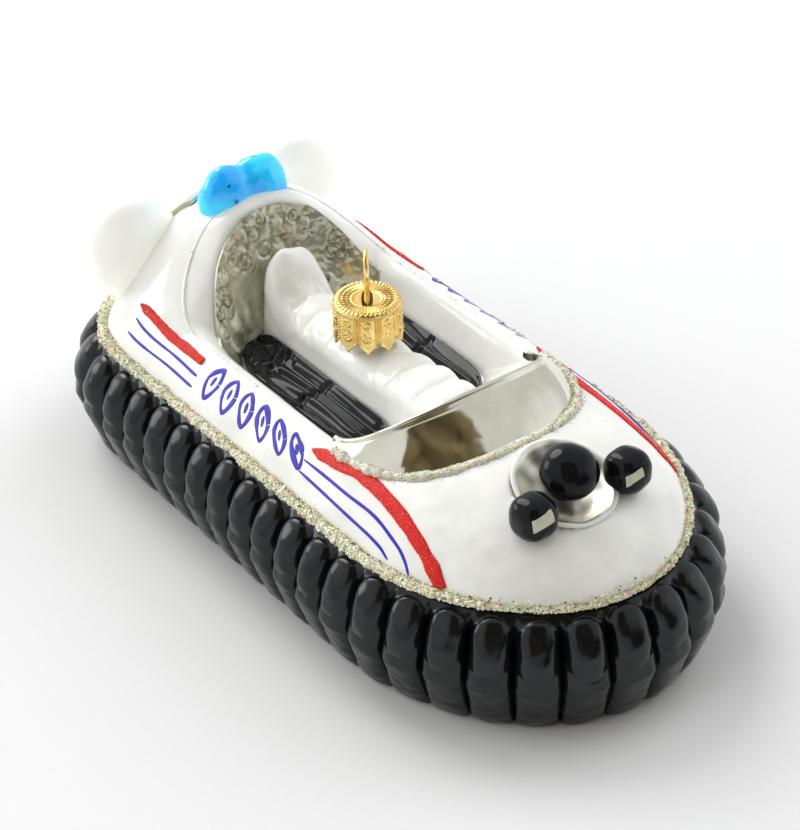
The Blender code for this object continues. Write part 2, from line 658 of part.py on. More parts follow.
# The two fan housings at the stern, blown as flat globes on short stems: (height, half-width, half-depth)
FAN_X = 20.0
FAN_Y = 61.0
FAN_STATIONS = (
    (25.0, 3.9, 3.4),
    (28.0, 4.2, 3.6),
    (31.0, 6.6, 4.2),
    (35.0, 9.2, 5.0),
    (40.0, 10.2, 5.4),
    (45.0, 9.0, 5.0),
    (48.6, 6.2, 3.9),
    (50.6, 3.0, 2.2),
)
fan_angle = np.arange(24) / 24 * 2 * math.pi
for side, side_name in ((-1, "starboard"), (1, "port")):
    rings = [np.stack([side * FAN_X + width * np.cos(fan_angle), FAN_Y + depth * np.sin(fan_angle),
                       np.full(24, height)], axis=1) for height, width, depth in FAN_STATIONS]
    trim(loft(f"fan_globe_{side_name}", rings, WHITE_GLASS), deck_guide)

# The silvered panel on the stern, between the fans
STERN_HALF_SHARE = 0.03
stern_fractions = 0.5 + np.linspace(-STERN_HALF_SHARE, STERN_HALF_SHARE, 13)
stern_rings = deck_rings(stern_fractions)
slab("stern_panel", stern_rings[1:5], GAP, 0.6, SILVER)
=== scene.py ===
"""Looks of the hovercraft glass tree ornament.

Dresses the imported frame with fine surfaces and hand-painted finishes. Sizes are in millimetres,
and each mesh is written in metres, in the frame's own axes: bow along -Y, port +X, up +Z.
"""
import math

import bpy
import bmesh
import numpy as np
from mathutils import Matrix


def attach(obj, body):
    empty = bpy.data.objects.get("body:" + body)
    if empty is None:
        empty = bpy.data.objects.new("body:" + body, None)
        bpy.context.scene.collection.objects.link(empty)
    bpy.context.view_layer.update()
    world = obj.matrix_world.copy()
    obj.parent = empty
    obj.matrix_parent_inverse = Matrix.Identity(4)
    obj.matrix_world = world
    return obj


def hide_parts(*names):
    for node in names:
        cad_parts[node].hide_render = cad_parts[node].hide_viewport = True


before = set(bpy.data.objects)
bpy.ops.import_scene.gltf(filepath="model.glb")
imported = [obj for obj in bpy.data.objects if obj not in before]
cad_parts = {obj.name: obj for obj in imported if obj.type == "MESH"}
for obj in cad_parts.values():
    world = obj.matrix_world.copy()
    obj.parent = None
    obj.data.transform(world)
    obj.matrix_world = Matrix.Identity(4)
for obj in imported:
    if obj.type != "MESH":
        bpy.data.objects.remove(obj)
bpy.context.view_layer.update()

# The photographer's table
# The ornament stands on pale seamless paper inside a white tent. The tent glows softly all round, with
# one open side where the camera looks in, and soft lamps hang above and behind the ornament.
MM = 0.001
CAMERA_AZIMUTH = math.radians(-35.886)
CAMERA_ELEVATION = math.radians(35.574)
CAMERA_ROLL = math.radians(-1.671)
CAMERA_OFFSET = (0.212, 22.546, 499.776)
CAMERA_DROP = 5.53
LENS_OVER_FRAME = 2524.087 / 830
SENSOR = 36.0
LAMP_DISTANCE = 1.6


def camera_axes(azimuth, elevation, roll):
    """Right, up and back of a camera, turned by azimuth and elevation and then rolled about its back."""
    back = np.array([math.sin(azimuth) * math.cos(elevation), -math.cos(azimuth) * math.cos(elevation),
                     math.sin(elevation)])
    level_right = np.array([math.cos(azimuth), math.sin(azimuth), 0.0])
    level_up = np.cross(back, level_right)
    right = math.cos(roll) * level_right + math.sin(roll) * level_up
    up = -math.sin(roll) * level_right + math.cos(roll) * level_up
    return right, up, back


def place_object(obj, axes, place):
    """Puts an object in the scene at a place, turned so that its own axes point along the given three."""
    obj.matrix_world = Matrix(np.column_stack([*axes, place]).tolist() + [[0.0, 0.0, 0.0, 1.0]])
    bpy.context.scene.collection.objects.link(obj)


right, up, back = camera_axes(CAMERA_AZIMUTH, CAMERA_ELEVATION, CAMERA_ROLL)
camera = bpy.data.objects.new("camera", bpy.data.cameras.new("camera"))
camera.data.sensor_width = SENSOR
camera.data.lens = LENS_OVER_FRAME * SENSOR
camera.data.clip_start = 0.01
place = sum(axis * distance for axis, distance in zip((right, up, back), CAMERA_OFFSET))
place_object(camera, (right, up, back), (place - np.array([0.0, 0.0, CAMERA_DROP])) * MM)
bpy.context.scene.camera = camera
bpy.context.scene.view_settings.view_transform = "Standard"


def unit(vectors):
    """Vectors brought to a length of one."""
    return vectors / np.linalg.norm(vectors, axis=-1, keepdims=True)


def points_at(x, y, z):
    """Points from their x, y and z, each given for all of them or for their rows or columns alone."""
    return np.stack(np.broadcast_arrays(x, y, z), axis=-1)


def soft_lamp(name, direction, size, power, colour, mirrored=True):
    """A round lamp in a direction from the ornament, turned to face it; mirrored shows it in gloss."""
    lamp = bpy.data.lights.new(name, "AREA")
    lamp.shape = "DISK"
    lamp.size, lamp.energy, lamp.color = size, power, colour
    holder = bpy.data.objects.new(name, lamp)
    holder.visible_glossy = mirrored
    direction = unit(np.array(direction))
    side = unit(np.cross((0.0, 0.0, 1.0), direction))
    place_object(holder, (side, np.cross(direction, side), direction), direction * LAMP_DISTANCE)


soft_lamp("lamp_behind", (0.03, 0.73, 0.68), 0.95, 10.5, (1.0, 0.99, 0.97))
soft_lamp("lamp_window", (-0.54, 0.78, 0.31), 0.75, 4.4, (0.97, 1.0, 1.0))
soft_lamp("lamp_starboard", (-0.75, 0.24, 0.62), 1.7, 5.5, (1.0, 1.0, 0.98), mirrored=False)
soft_lamp("lamp_port", (0.84, 0.05, 0.54), 1.3, 9.0, (0.96, 0.98, 1.0), mirrored=False)


def set_value(socket, value):
    """Sets an input's own value; a colour is given without its alpha, which is one."""
    socket.default_value = (*value, 1.0) if socket.type == "RGBA" else value


def node_maker(tree):
    """A short way to add nodes to a tree: add(kind, input=value or socket, ...) returns the node."""
    def add(kind, settings=None, **inputs):
        node = tree.nodes.new(kind)
        for name, value in (settings or {}).items():
            setattr(node, name, value)
        for name, value in inputs.items():
            socket = node.inputs[int(name[1:])] if name[1:].isdigit() else node.inputs[name.replace("_", " ")]
            if isinstance(value, bpy.types.NodeSocket):
                tree.links.new(value, socket)
            else:
                set_value(socket, value)
        return node
    return add


def maths(add, operation, a, b=0.0, c=0.0):
    """The result of one maths node."""
    return add("ShaderNodeMath", {"operation": operation}, i0=a, i1=b, i2=c).outputs[0]


def blend_colours(add, share, first, second):
    """A mix of two colours by a share from 0 to 1."""
    return add("ShaderNodeMix", {"data_type": "RGBA"}, i0=share, i6=first, i7=second).outputs[2]


def spread(add, value, low, high, kind="LINEAR"):
    """How far a value is from low to high, kept between 0 and 1."""
    return add("ShaderNodeMapRange", {"interpolation_type": kind}, i0=value, i1=low, i2=high).outputs[0]


def facing(add, ray, axis):
    """The cosine of the angle between a ray and an axis."""
    return add("ShaderNodeVectorMath", {"operation": "DOT_PRODUCT"}, i0=ray, i1=tuple(axis)).outputs["Value"]


TENT_STRENGTH = 0.74
TENT_WHITE = (0.93, 0.95, 0.97)
TENT_TOP = (1.0, 1.0, 0.99)
OPENING_DARK = (0.015, 0.013, 0.008)
OPENING_BROWN = (0.40, 0.31, 0.16)
TENT_ZONES = (
    # direction of a brighter or dimmer wall of the tent, and its brightness
    ((-0.75, 0.21, 0.63), 1.2),
    ((0.84, -0.52, 0.14), 1.5),
    ((-0.04, 0.90, 0.43), 1.8),
    ((0.22, -0.97, 0.08), 0.12),
)
ZONE_EDGES = (0.80, 0.97)
OPENING_CENTRE = (0.06, 0.45)
OPENING_HALF_WIDTH = 0.55
OPENING_HALF_HEIGHT = 0.8
OPENING_STEP = 0.37
OPENING_RAGGED = 0.12
world = bpy.data.worlds.new("tent")
world.use_nodes = True
bpy.context.scene.world = world
world.node_tree.nodes.clear()
add = node_maker(world.node_tree)
ray = add("ShaderNodeTexCoord").outputs["Generated"]
seen = [facing(add, ray, axis) for axis in (right, up, back)]
ahead = maths(add, "MAXIMUM", seen[2], 0.001)
across = maths(add, "SUBTRACT", maths(add, "DIVIDE", seen[0], ahead), OPENING_CENTRE[0])
along = maths(add, "SUBTRACT", maths(add, "DIVIDE", seen[1], ahead), OPENING_CENTRE[1])


def within_limit(place, limit, other):
    """One where a place is within a limit that steps in and out along the other direction."""
    step = add("ShaderNodeTexWhiteNoise", {"noise_dimensions": "1D"},
               W=maths(add, "SNAP", other, OPENING_STEP)).outputs["Value"]
    ragged = maths(add, "MULTIPLY_ADD", step, OPENING_RAGGED, limit - OPENING_RAGGED / 2)
    return maths(add, "LESS_THAN", maths(add, "ABSOLUTE", place), ragged)


inside = maths(add, "MULTIPLY", within_limit(across, OPENING_HALF_WIDTH, along),
               within_limit(along, OPENING_HALF_HEIGHT, across))
inside = maths(add, "MULTIPLY", inside, maths(add, "GREATER_THAN", seen[2], 0.0))
room = add("ShaderNodeTexNoise", Vector=ray, Scale=2.6, Detail=2.0)
room_colour = blend_colours(add, spread(add, room.outputs["Fac"], 0.3, 0.7), OPENING_DARK, OPENING_BROWN)
height = add("ShaderNodeSeparateXYZ", Vector=ray).outputs["Z"]
tent = blend_colours(add, spread(add, height, 0.0, 0.9), TENT_WHITE, TENT_TOP)
for direction, gain in TENT_ZONES:
    zone = spread(add, facing(add, ray, direction), *ZONE_EDGES, "SMOOTHSTEP")
    tent = blend_colours(add, zone, tent, (gain, gain, gain))
tent = blend_colours(add, inside, tent, room_colour)
to_camera = add("ShaderNodeLightPath").outputs["Is Camera Ray"]
tent = blend_colours(add, to_camera, tent, TENT_WHITE)
glow = add("ShaderNodeBackground", Color=tent, Strength=TENT_STRENGTH)
add("ShaderNodeOutputWorld", Surface=glow.outputs[0])


def link_mesh(name, mesh):
    """A new object at the origin that shows a mesh."""
    obj = bpy.data.objects.new(name, mesh)
    bpy.context.scene.collection.objects.link(obj)
    return obj


def skin(name, *grids, sharp=None, around=True, closed=False):
    """One mesh over grids of points in millimetres, with a quad between each four neighbours of a grid.

    around joins a grid's last column to its first, and closed joins its last row to its first; where only
    the columns join, a fan to its middle point closes each end row. Such shapes have no border, and
    their faces are turned to point outwards. Edges above the sharp angle, in degrees, aren't smoothed.
    """
    points, faces, count = [], [], 0
    for grid in grids:
        rows, columns = grid.shape[:2]
        index = count + np.arange(rows * columns).reshape(rows, columns)
        index = np.concatenate([index, index[:, :1]], axis=1) if around else index
        index = np.concatenate([index, index[:1]], axis=0) if closed else index
        quads = np.stack([index[:-1, :-1], index[:-1, 1:], index[1:, 1:], index[1:, :-1]], axis=-1)
        faces += quads.reshape(-1, 4).tolist()
        points.append(grid.reshape(-1, 3))
        count += rows * columns
        if around and not closed:
            for ring, middle, turn in ((index[0], count, 1), (index[-1], count + 1, -1)):
                fan = np.stack([ring[1:], ring[:-1], np.full(len(ring) - 1, middle)], axis=-1)
                faces += fan[:, ::turn].tolist()
            points.append(np.stack([grid[0].mean(axis=0), grid[-1].mean(axis=0)]))
            count += 2
    mesh = bpy.data.meshes.new(name)
    mesh.from_pydata((np.concatenate(points) * MM).tolist(), [], faces)
    if around:
        turn_outward(mesh)
    mesh.shade_smooth()
    if sharp:
        mesh.set_sharp_from_angle(angle=math.radians(sharp))
    return link_mesh(name, mesh)


def store_per_point(obj, name, values):
    """Keeps one value for each point of a piece's grid as a named attribute; end fans get their mean."""
    spare = len(obj.data.vertices) - values.size
    values = np.concatenate([values.reshape(-1), np.full(spare, values.mean())]).astype(np.float32)
    obj.data.attributes.new(name, "FLOAT", "POINT").data.foreach_set("value", values)


def turn_outward(mesh):
    """Turns all faces of a closed shape to point outwards."""
    work = bmesh.new()
    work.from_mesh(mesh)
    bmesh.ops.recalc_face_normals(work, faces=work.faces[:])
    if work.calc_volume(signed=True) < 0:
        bmesh.ops.reverse_faces(work, faces=work.faces[:])
    work.to_mesh(mesh)
    work.free()


def paint(name, colour, roughness, metallic=0.0, **sockets):
    """A material with one Principled shader, and the means to add nodes to it.

    Values that are the same all over are set on the shader's own sockets.
    """
    material = bpy.data.materials.new(name)
    material.use_nodes = True
    shader = material.node_tree.nodes["Principled BSDF"]
    sockets.update(Base_Color=colour, Roughness=roughness, Metallic=metallic)
    for socket, value in sockets.items():
        set_value(shader.inputs[socket.replace("_", " ")], value)
    return material, shader, node_maker(material.node_tree)


def feed(node, **sources):
    """Links the outputs of other nodes to the named inputs of a node, in place of what fed them."""
    for name, source in sources.items():
        node.id_data.links.new(source, node.inputs[name.replace("_", " ")])


def bumped(add, height, depth):
    """The normals of a bump that is a number of millimetres deep."""
    return add("ShaderNodeBump", Height=height, Strength=1.0, Distance=depth * MM).outputs["Normal"]


def cloudy(add, scale, detail, **sockets):
    """Soft noise from 0 to 1 over the piece's own coordinates."""
    spot = add("ShaderNodeTexCoord").outputs["Object"]
    return add("ShaderNodeTexNoise", Vector=spot, Scale=scale, Detail=detail, **sockets).outputs["Fac"]


def grainy(add, scale):
    """The distance to the nearest of many scattered grains, over the piece's own coordinates."""
    spot = add("ShaderNodeTexCoord").outputs["Object"]
    return add("ShaderNodeTexVoronoi", Vector=spot, Scale=scale).outputs["Distance"]


def finish_group(name, colours, values):
    """A node group for a finish, with the named inputs, that gives a colour, a roughness and a height."""
    tree = bpy.data.node_groups.new(name, "ShaderNodeTree")
    for way, kind, labels in (("INPUT", "NodeSocketColor", colours), ("INPUT", "NodeSocketFloat", values),
                              ("OUTPUT", "NodeSocketColor", ("Colour",)),
                              ("OUTPUT", "NodeSocketFloat", ("Roughness", "Height"))):
        for label in labels:
            tree.interface.new_socket(name=label, in_out=way, socket_type=kind)
    return tree, tree.nodes.new("NodeGroupInput").outputs, tree.nodes.new("NodeGroupOutput"), node_maker(tree)


def dress(obj, material, slot, *nodes, body="glass_figure"):
    """Gives a finished piece its material, its body and the frame nodes that it stands for; slot is not used.
    """
    obj.data.materials.append(material)
    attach(obj, body)
    if nodes:
        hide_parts(*nodes)


PAPER_HALF = 3000.0
paper, paper_shader, add = paint("pale_paper", (0.77, 0.78, 0.795), 0.75)
feed(paper_shader, Base_Color=blend_colours(add, cloudy(add, 900.0, 2.0), (0.785, 0.795, 0.805),
                                            (0.815, 0.825, 0.835)))
paper_edges = np.array([-PAPER_HALF, PAPER_HALF])
floor = skin("floor", points_at(paper_edges, paper_edges[:, None], 0.0), around=False)
floor.data.materials.append(paper)


# The skirt
# The craft's inflated skirt is a ring of 48 fingers, blown in the mould and dipped in glossy black enamel.
# Every finger has a rounded tip under the glitter, and an edge near its middle where it turns in to the foot.
DECK_PLAN = (
    # half-width, front y, rear y, lengths of the rounded front and rear, and their powers
    31.7, -70.0, 70.0, 40.3, 26.0, (2.0, 2.6),
)
FINGERS = 48
FINGER_STEPS = 20
SKIRT_PROFILE = (
    # offset from the deck edge, depth of the valleys, height
    (-0.8, 0.0, 23.5),
    (0.6, 0.1, 23.5),
    (1.3, 0.2, 23.0),
    (2.2, 0.7, 22.1),
    (4.4, 1.9, 19.0),
    (6.4, 2.5, 15.0),
    (7.4, 2.5, 11.6),
    (7.2, 2.4, 10.0),
    (6.1, 2.2, 6.8),
    (4.7, 1.8, 2.8),
    (3.4, 1.2, 0.6),
    (2.2, 0.7, 0.0),
)
SKIRT_ROWS = 96
TIP_HEIGHT = 17.9
TIP_HALF_HEIGHT = 4.9
TIP_HALF_WIDTH = 0.93
TIP_POWER = 2.5
TIP_BULGE = 1.55
TIP_GROOVE = 0.12
TIP_BOW_RISE = 0.3
FOOT_INSET = 3.0


def curve_through(knots, at):
    """Points on a smooth curve through knots: a Catmull-Rom cubic, at places counted in knots."""
    knots = np.asarray(knots, float)
    before = 2 * knots[:1] - knots[1:2]
    after = 2 * knots[-1:] - knots[-2:-1]
    padded = np.concatenate([before, knots, after])
    at = np.clip(np.asarray(at, float), 0, len(knots) - 1)
    start = np.minimum(at.astype(int), len(knots) - 2)
    t = (at - start)[..., None]
    a, b, c, d = (padded[start + k] for k in range(4))
    return 0.5 * (2 * b + (c - a) * t + (2 * a - 5 * b + 4 * c - d) * t ** 2
                  + (3 * b - a - 3 * c + d) * t ** 3)


def evenly(knots, count):
    """Evenly spaced points along the smooth curve through knots."""
    fine = curve_through(knots, np.linspace(0, len(knots) - 1, 40 * len(knots)))
    travel = np.concatenate([[0.0], np.cumsum(np.linalg.norm(np.diff(fine, axis=0), axis=1))])
    even = np.linspace(0, travel[-1], count)
    return np.stack([np.interp(even, travel, column) for column in fine.T], axis=1)


def bent(wave, power):
    """A wave from -1 to 1 raised to a power, with its sign kept."""
    return np.sign(wave) * np.abs(wave) ** power


def travelled(x, y):
    """The distance travelled from the start of a plan line to each of its points."""
    return np.concatenate([[0.0], np.cumsum(np.hypot(np.diff(x), np.diff(y)))])


def oval(half_width, front_y, rear_y, front_length, rear_length, powers, fractions):
    """Plan points of an oval of two half superellipses, at fractions of its length from the bow by port."""
    angle = np.linspace(0.0, math.pi / 2, 1200)
    (front_x, front), (rear_x, rear) = [(half_width * np.sin(angle) ** (2 / power),
                                         1 - np.cos(angle) ** (2 / power)) for power in powers]
    x = np.concatenate([front_x, rear_x[::-1]])
    y = np.concatenate([front_y + front_length * front, (rear_y - rear_length * rear)[::-1]])
    travel = travelled(x, y)
    fractions = np.asarray(fractions, float) % 1.0
    half = np.where(fractions <= 0.5, 2 * fractions, 2 - 2 * fractions) * travel[-1]
    side = np.where(fractions <= 0.5, 1.0, -1.0)
    return np.stack([side * np.interp(half, travel, x), np.interp(half, travel, y)], axis=-1)


def deck_edge(fractions):
    """The plan of the joint between skirt and deck."""
    return oval(*DECK_PLAN, fractions)


def edge_normals(fractions):
    """Unit normals of the deck edge in plan, from points a little ahead of and behind each place."""
    step = 0.0006
    along = unit(deck_edge(np.asarray(fractions) + step) - deck_edge(np.asarray(fractions) - step))
    return np.stack([along[..., 1], -along[..., 0]], axis=-1)


def level(plan, height):
    """Plan points at a height."""
    return np.concatenate([plan, np.broadcast_to(height, plan.shape[:-1])[..., None]], axis=-1)


def nearness_to_bow(plan):
    """From 0 amidships to 1 at the bow."""
    return np.clip((-plan[..., 1] - 40.0) / 22.0, 0, 1)


def unevenness(points, length, seed, waves=16):
    """Smooth unevenness of about -1 to 1: a sum of sine waves of about one length, in random directions."""
    random = np.random.default_rng(seed)
    directions = unit(random.normal(size=(waves, 3)))
    directions *= (2 * math.pi / length) * random.uniform(0.7, 1.4, (waves, 1))
    phases = random.uniform(0, 2 * math.pi, waves)
    return np.sin(points @ directions.T + phases).sum(axis=-1) / math.sqrt(waves)


def skirt_surface():
    """The skirt over place around the edge and place down its profile.

    The offset from the deck edge is the profile's, less its valley depth times a rounded lobe of the
    place within the finger, plus a smooth dome along the profile's normal for the finger's tip, with a fine
    groove round the dome like the edge of a thumb nail.
    """
    around = np.arange(FINGERS * FINGER_STEPS) / (FINGERS * FINGER_STEPS)
    random = np.random.default_rng(4)
    finger = np.arange(FINGERS * FINGER_STEPS) // FINGER_STEPS
    within = np.abs(2 * ((around * FINGERS) % 1.0) - 1)
    profile = evenly(SKIRT_PROFILE, SKIRT_ROWS)
    offset, depth, height = np.split(profile, 3, axis=1)
    valley = 1 - (1 - within ** 3.0) ** 0.6
    tip_height = TIP_HEIGHT + random.uniform(-0.25, 0.25, FINGERS)[finger]
    tip_bulge = TIP_BULGE * random.uniform(0.88, 1.12, FINGERS)[finger]
    tip_height = tip_height + TIP_BOW_RISE * nearness_to_bow(deck_edge(around))
    inside = 1 - ((within / TIP_HALF_WIDTH) ** TIP_POWER
                  + np.abs((height - tip_height) / TIP_HALF_HEIGHT) ** TIP_POWER)
    lower = np.clip(0.5 - (height - tip_height) / TIP_HALF_HEIGHT, 0, 1)
    groove = TIP_GROOVE * np.exp(-((inside - 0.04) / 0.09) ** 2) * lower
    dome = tip_bulge * np.clip(inside, 0, 1) ** (0.5 + 0.7 * lower) - groove
    along = unit(np.gradient(profile[:, ::2], axis=0))
    offset = offset - depth * valley - dome * along[:, 1:]
    edge, out = deck_edge(around), edge_normals(around)
    grid = level(edge + out * offset[..., None], height + dome * along[:, :1])
    grid[..., :2] += out * (0.09 * unevenness(grid, 9.0, 5) + 0.05 * unevenness(grid, 3.0, 6))[..., None]
    foot = level(edge - out * FOOT_INSET, 0.0)
    recess = level(edge - out * (FOOT_INSET + 0.6), 2.0)
    return np.concatenate([grid, foot[None], recess[None]])


# Enamel is brushed or dipped by hand, so its tone and gloss drift a little and it keeps faint ripples.
enamel, enamel_in, enamel_out, add = finish_group(
    "hand_enamel", ("Colour", "Thin Colour"), ("Gloss", "Gloss Drift", "Patch Size"))
thin = spread(add, cloudy(add, enamel_in["Patch Size"], 4.0, Roughness=0.6), 0.45, 0.75)
drift = cloudy(add, 420.0, 3.0)
feed(enamel_out, Colour=blend_colours(add, thin, enamel_in["Colour"], enamel_in["Thin Colour"]),
     Roughness=maths(add, "MULTIPLY_ADD", drift, enamel_in["Gloss Drift"], enamel_in["Gloss"]),
     Height=cloudy(add, 330.0, 1.0))


def finish_with(tree, shader, add, depth, **sockets):
    """Feeds a shader's colour, roughness and bump from a finish's node group."""
    finish = add("ShaderNodeGroup", {"node_tree": tree}, **sockets).outputs
    feed(shader, Base_Color=finish["Colour"], Roughness=finish["Roughness"],
         Normal=bumped(add, finish["Height"], depth))


def reopened(material):
    """A finished material's shader, what feeds its colour and its roughness, and the means to add nodes."""
    shader = material.node_tree.nodes["Principled BSDF"]
    colour, roughness = (shader.inputs[name].links[0].from_socket for name in ("Base Color", "Roughness"))
    return shader, colour, roughness, node_maker(material.node_tree)


def enamelled(name, colour, thin_colour, gloss, drift, patch_size, ripple_depth, **sockets):
    """A glossy enamel: the hand_enamel group feeds its colour, its roughness and a shallow bump."""
    material, shader, add = paint(name, colour, gloss, **sockets)
    finish_with(enamel, shader, add, ripple_depth, Colour=colour, Gloss=gloss,
                Thin_Colour=thin_colour, Gloss_Drift=drift, Patch_Size=patch_size)
    return material


black_enamel = enamelled("black_enamel", (0.002, 0.0025, 0.003), (0.006, 0.007, 0.009), 0.11, 0.14, 220.0,
                         0.05, Specular_IOR_Level=0.45, Specular_Tint=(0.92, 0.98, 1.0))
skirt = skin("skirt_fingers", skirt_surface(), sharp=70)
dress(skirt, black_enamel, "black_gloss", "skirt")

# The underside is one flat panel inside the foot, left in the same black enamel.
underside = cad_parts["underside_panel"]
underside.data.materials.clear()
underside.data.materials.append(black_enamel)


# The deck
# The whole upper body is one blown shell, lacquered pearl white: the flank rises to a rounded coaming,
# which grows into the hood behind the cockpit, and the cockpit wall drops inside it.
DECK_EDGE_INSET, DECK_EDGE_Z = 0.35, 24.7
DECK_BASE_INSET, DECK_BASE_Z = 0.5, 23.8
LIP_RISE = 0.45
WALL_SAG = 0.15
DECK_COLUMNS = 480
FLANK_ROWS = 62
SOFT_ROWS = (56, 100)
COAMING_HALF_WIDTH = 23.6
COAMING_PLAN = (COAMING_HALF_WIDTH, -33.5, 47.5, 23.5, 17.5, (2.2, 2.5))
COAMING_Z = 33.0
HOOD_FROM_Y = 5.0
HOOD_RISE = 17.0
BROW_RISE = 3.9
MOUTH_Z = 31.8
MOUTH_FRONT_Y = -24.0
MOUTH_FRONT_LENGTH = 12.0
MOUTH_PLAN = (21.2, MOUTH_FRONT_Y, 42.7, MOUTH_FRONT_LENGTH, 22.0, (3.0, 2.4))
MOUTH_SCREEN_RISE = 7.4
MOUTH_HOOD_HALF_WIDTH = 19.4
MOUTH_HOOD_RISE = 17.3
FLOOR_Z = 26.0
FLOOR_PLAN = (17.9, -10.5, 35.5, 10.0, 14.0, (3.0, 2.4))
DISH_CENTRE = np.array([0.0, -50.2, 35.6])
DISH_TILT = math.radians(20.0)
DISH_RADIUS = 9.4
DISH_DEPTH = 3.6


def arched(x, half_width, base, rise, power):
    """Height of an arch: base plus rise times one less a power of the distance from the middle."""
    return base + rise * (1 - np.clip(np.abs(x) / half_width, 0, 1) ** power)


def coaming(fractions):
    """The crest of the coaming: low at the sides, up at the screen, high over the hood."""
    plan = oval(*COAMING_PLAN, fractions)
    hood = arched(plan[..., 0], COAMING_HALF_WIDTH, COAMING_Z, HOOD_RISE, 2.1)
    brow = arched(plan[..., 0], COAMING_HALF_WIDTH, COAMING_Z, BROW_RISE, 2.0)
    return level(plan, np.where(plan[..., 1] > HOOD_FROM_Y, hood, brow))


def mouth(fractions):
    """The inner edge of the coaming's lip: arched under the hood, and up to the screen's rim."""
    plan = oval(*MOUTH_PLAN, fractions)
    hood = arched(plan[..., 0], MOUTH_HOOD_HALF_WIDTH, MOUTH_Z, MOUTH_HOOD_RISE, 2.6)
    forward = np.clip((MOUTH_FRONT_Y + MOUTH_FRONT_LENGTH - plan[..., 1]) / MOUTH_FRONT_LENGTH, 0, 1)
    return level(plan, np.where(plan[..., 1] > HOOD_FROM_Y, hood, MOUTH_Z + MOUTH_SCREEN_RISE * forward))


def floor_edge(fractions):
    """The foot of the cockpit wall."""
    return level(oval(*FLOOR_PLAN, fractions), FLOOR_Z)


def fullness(fractions):
    """How quickly the deck rises from its edge: fast at bow and stern, slowly at the stern's corners."""
    along = 1 - np.abs(1 - 2 * (np.asarray(fractions) % 1.0))
    return np.interp(along, (0.0, 0.3, 0.6, 0.8, 0.92, 1.0), (0.6, 0.75, 0.85, 1.0, 0.6, 0.42))


def deck_surface(around, up):
    """The deck over two parameters. around runs from the bow by port; up runs from the edge at 0 over
    the coaming's crest at 1 and its lip at 2 to the foot of the cockpit wall at 3.

    The flank's height goes as a power of a sine of up, the lip is a low arch, and the wall hangs a little.
    """
    edge = level(deck_edge(around) - edge_normals(around) * DECK_EDGE_INSET, DECK_EDGE_Z)
    crest, lip, foot = coaming(around), mouth(around), floor_edge(around)
    flank = np.clip(up, 0, 1)[..., None]
    over = np.clip(np.asarray(up) - 1, 0, 1)[..., None]
    down = np.clip(np.asarray(up) - 2, 0, 1)[..., None]
    points = edge + (crest - edge) * flank
    rise = np.sin(flank[..., 0] * math.pi / 2) ** fullness(around)
    points[..., 2] = edge[..., 2] + (crest[..., 2] - edge[..., 2]) * rise
    points = points + (lip - crest) * over + (foot - lip) * down
    points[..., 2] += LIP_RISE * np.sin(over[..., 0] * math.pi) - WALL_SAG * np.sin(down[..., 0] * math.pi)
    return points


def dish_place(points):
    """Distance from the bow dish's axis, and height along it from the middle of its rim's plane."""
    local = points - DISH_CENTRE
    height = -local[..., 1] * math.sin(DISH_TILT) + local[..., 2] * math.cos(DISH_TILT)
    ahead = local[..., 1] * math.cos(DISH_TILT) + local[..., 2] * math.sin(DISH_TILT)
    return np.hypot(local[..., 0], ahead), height


def soften(grid, rows, passes):
    """Rounds a grid's rows: each row between the two named becomes a quarter, half and quarter mean."""
    first, last = rows
    for _ in range(passes):
        grid[first:last] = (grid[first - 1:last - 1] + 2 * grid[first:last] + grid[first + 1:last + 1]) / 4
    return grid


deck_up = np.concatenate([np.linspace(0, 1, FLANK_ROWS) ** 1.15, np.linspace(1, 2, 15)[1:],
                          np.linspace(2, 3, 30)[1:]])
deck_around = np.arange(DECK_COLUMNS) / DECK_COLUMNS
deck_grid = deck_surface(deck_around, deck_up[:, None])
deck_grid = soften(deck_grid, SOFT_ROWS, 5)
deck_grid[1:, :, 2] += 0.07 * unevenness(deck_grid[1:], 14.0, 11) + 0.025 * unevenness(deck_grid[1:], 5.0, 12)
from_axis, above = dish_place(deck_grid)
sink = np.clip((DISH_RADIUS - 0.2 - from_axis) / 0.8, 0, 1) * np.clip(above + DISH_DEPTH + 2.0, 0, None)
dish_rise = np.array([0.0, -math.sin(DISH_TILT), math.cos(DISH_TILT)])
deck_grid[:FLANK_ROWS] -= (sink * (np.abs(above) < 6))[:FLANK_ROWS, :, None] * dish_rise
deck_base = level(deck_edge(deck_around) - edge_normals(deck_around) * DECK_BASE_INSET, DECK_BASE_Z)
deck = skin("deck_shell", np.concatenate([deck_base[None], deck_grid]), sharp=75)

# White lacquer over a silvered inside: it thins to a cool grey-green where it ran, and near the joints it
# has caught a few specks of glitter and dust.
pearl = enamelled("pearl_lacquer", (0.92, 0.925, 0.895), (0.76, 0.78, 0.72), 0.14, 0.14, 70.0, 0.035,
                  Coat_Weight=0.6, Coat_Roughness=0.06, Subsurface_Weight=0.12, Subsurface_Scale=0.001)
pearl_shader, pearl_colour, _, add = reopened(pearl)
speck = maths(add, "MULTIPLY", maths(add, "LESS_THAN", grainy(add, 420.0), 0.085),
              maths(add, "GREATER_THAN", cloudy(add, 60.0, 2.0), 0.6))
feed(pearl_shader, Base_Color=blend_colours(add, maths(add, "MULTIPLY", speck, 0.55), pearl_colour,
                                            (0.45, 0.40, 0.30)))
dress(deck, pearl, "pearl_white", "deck")


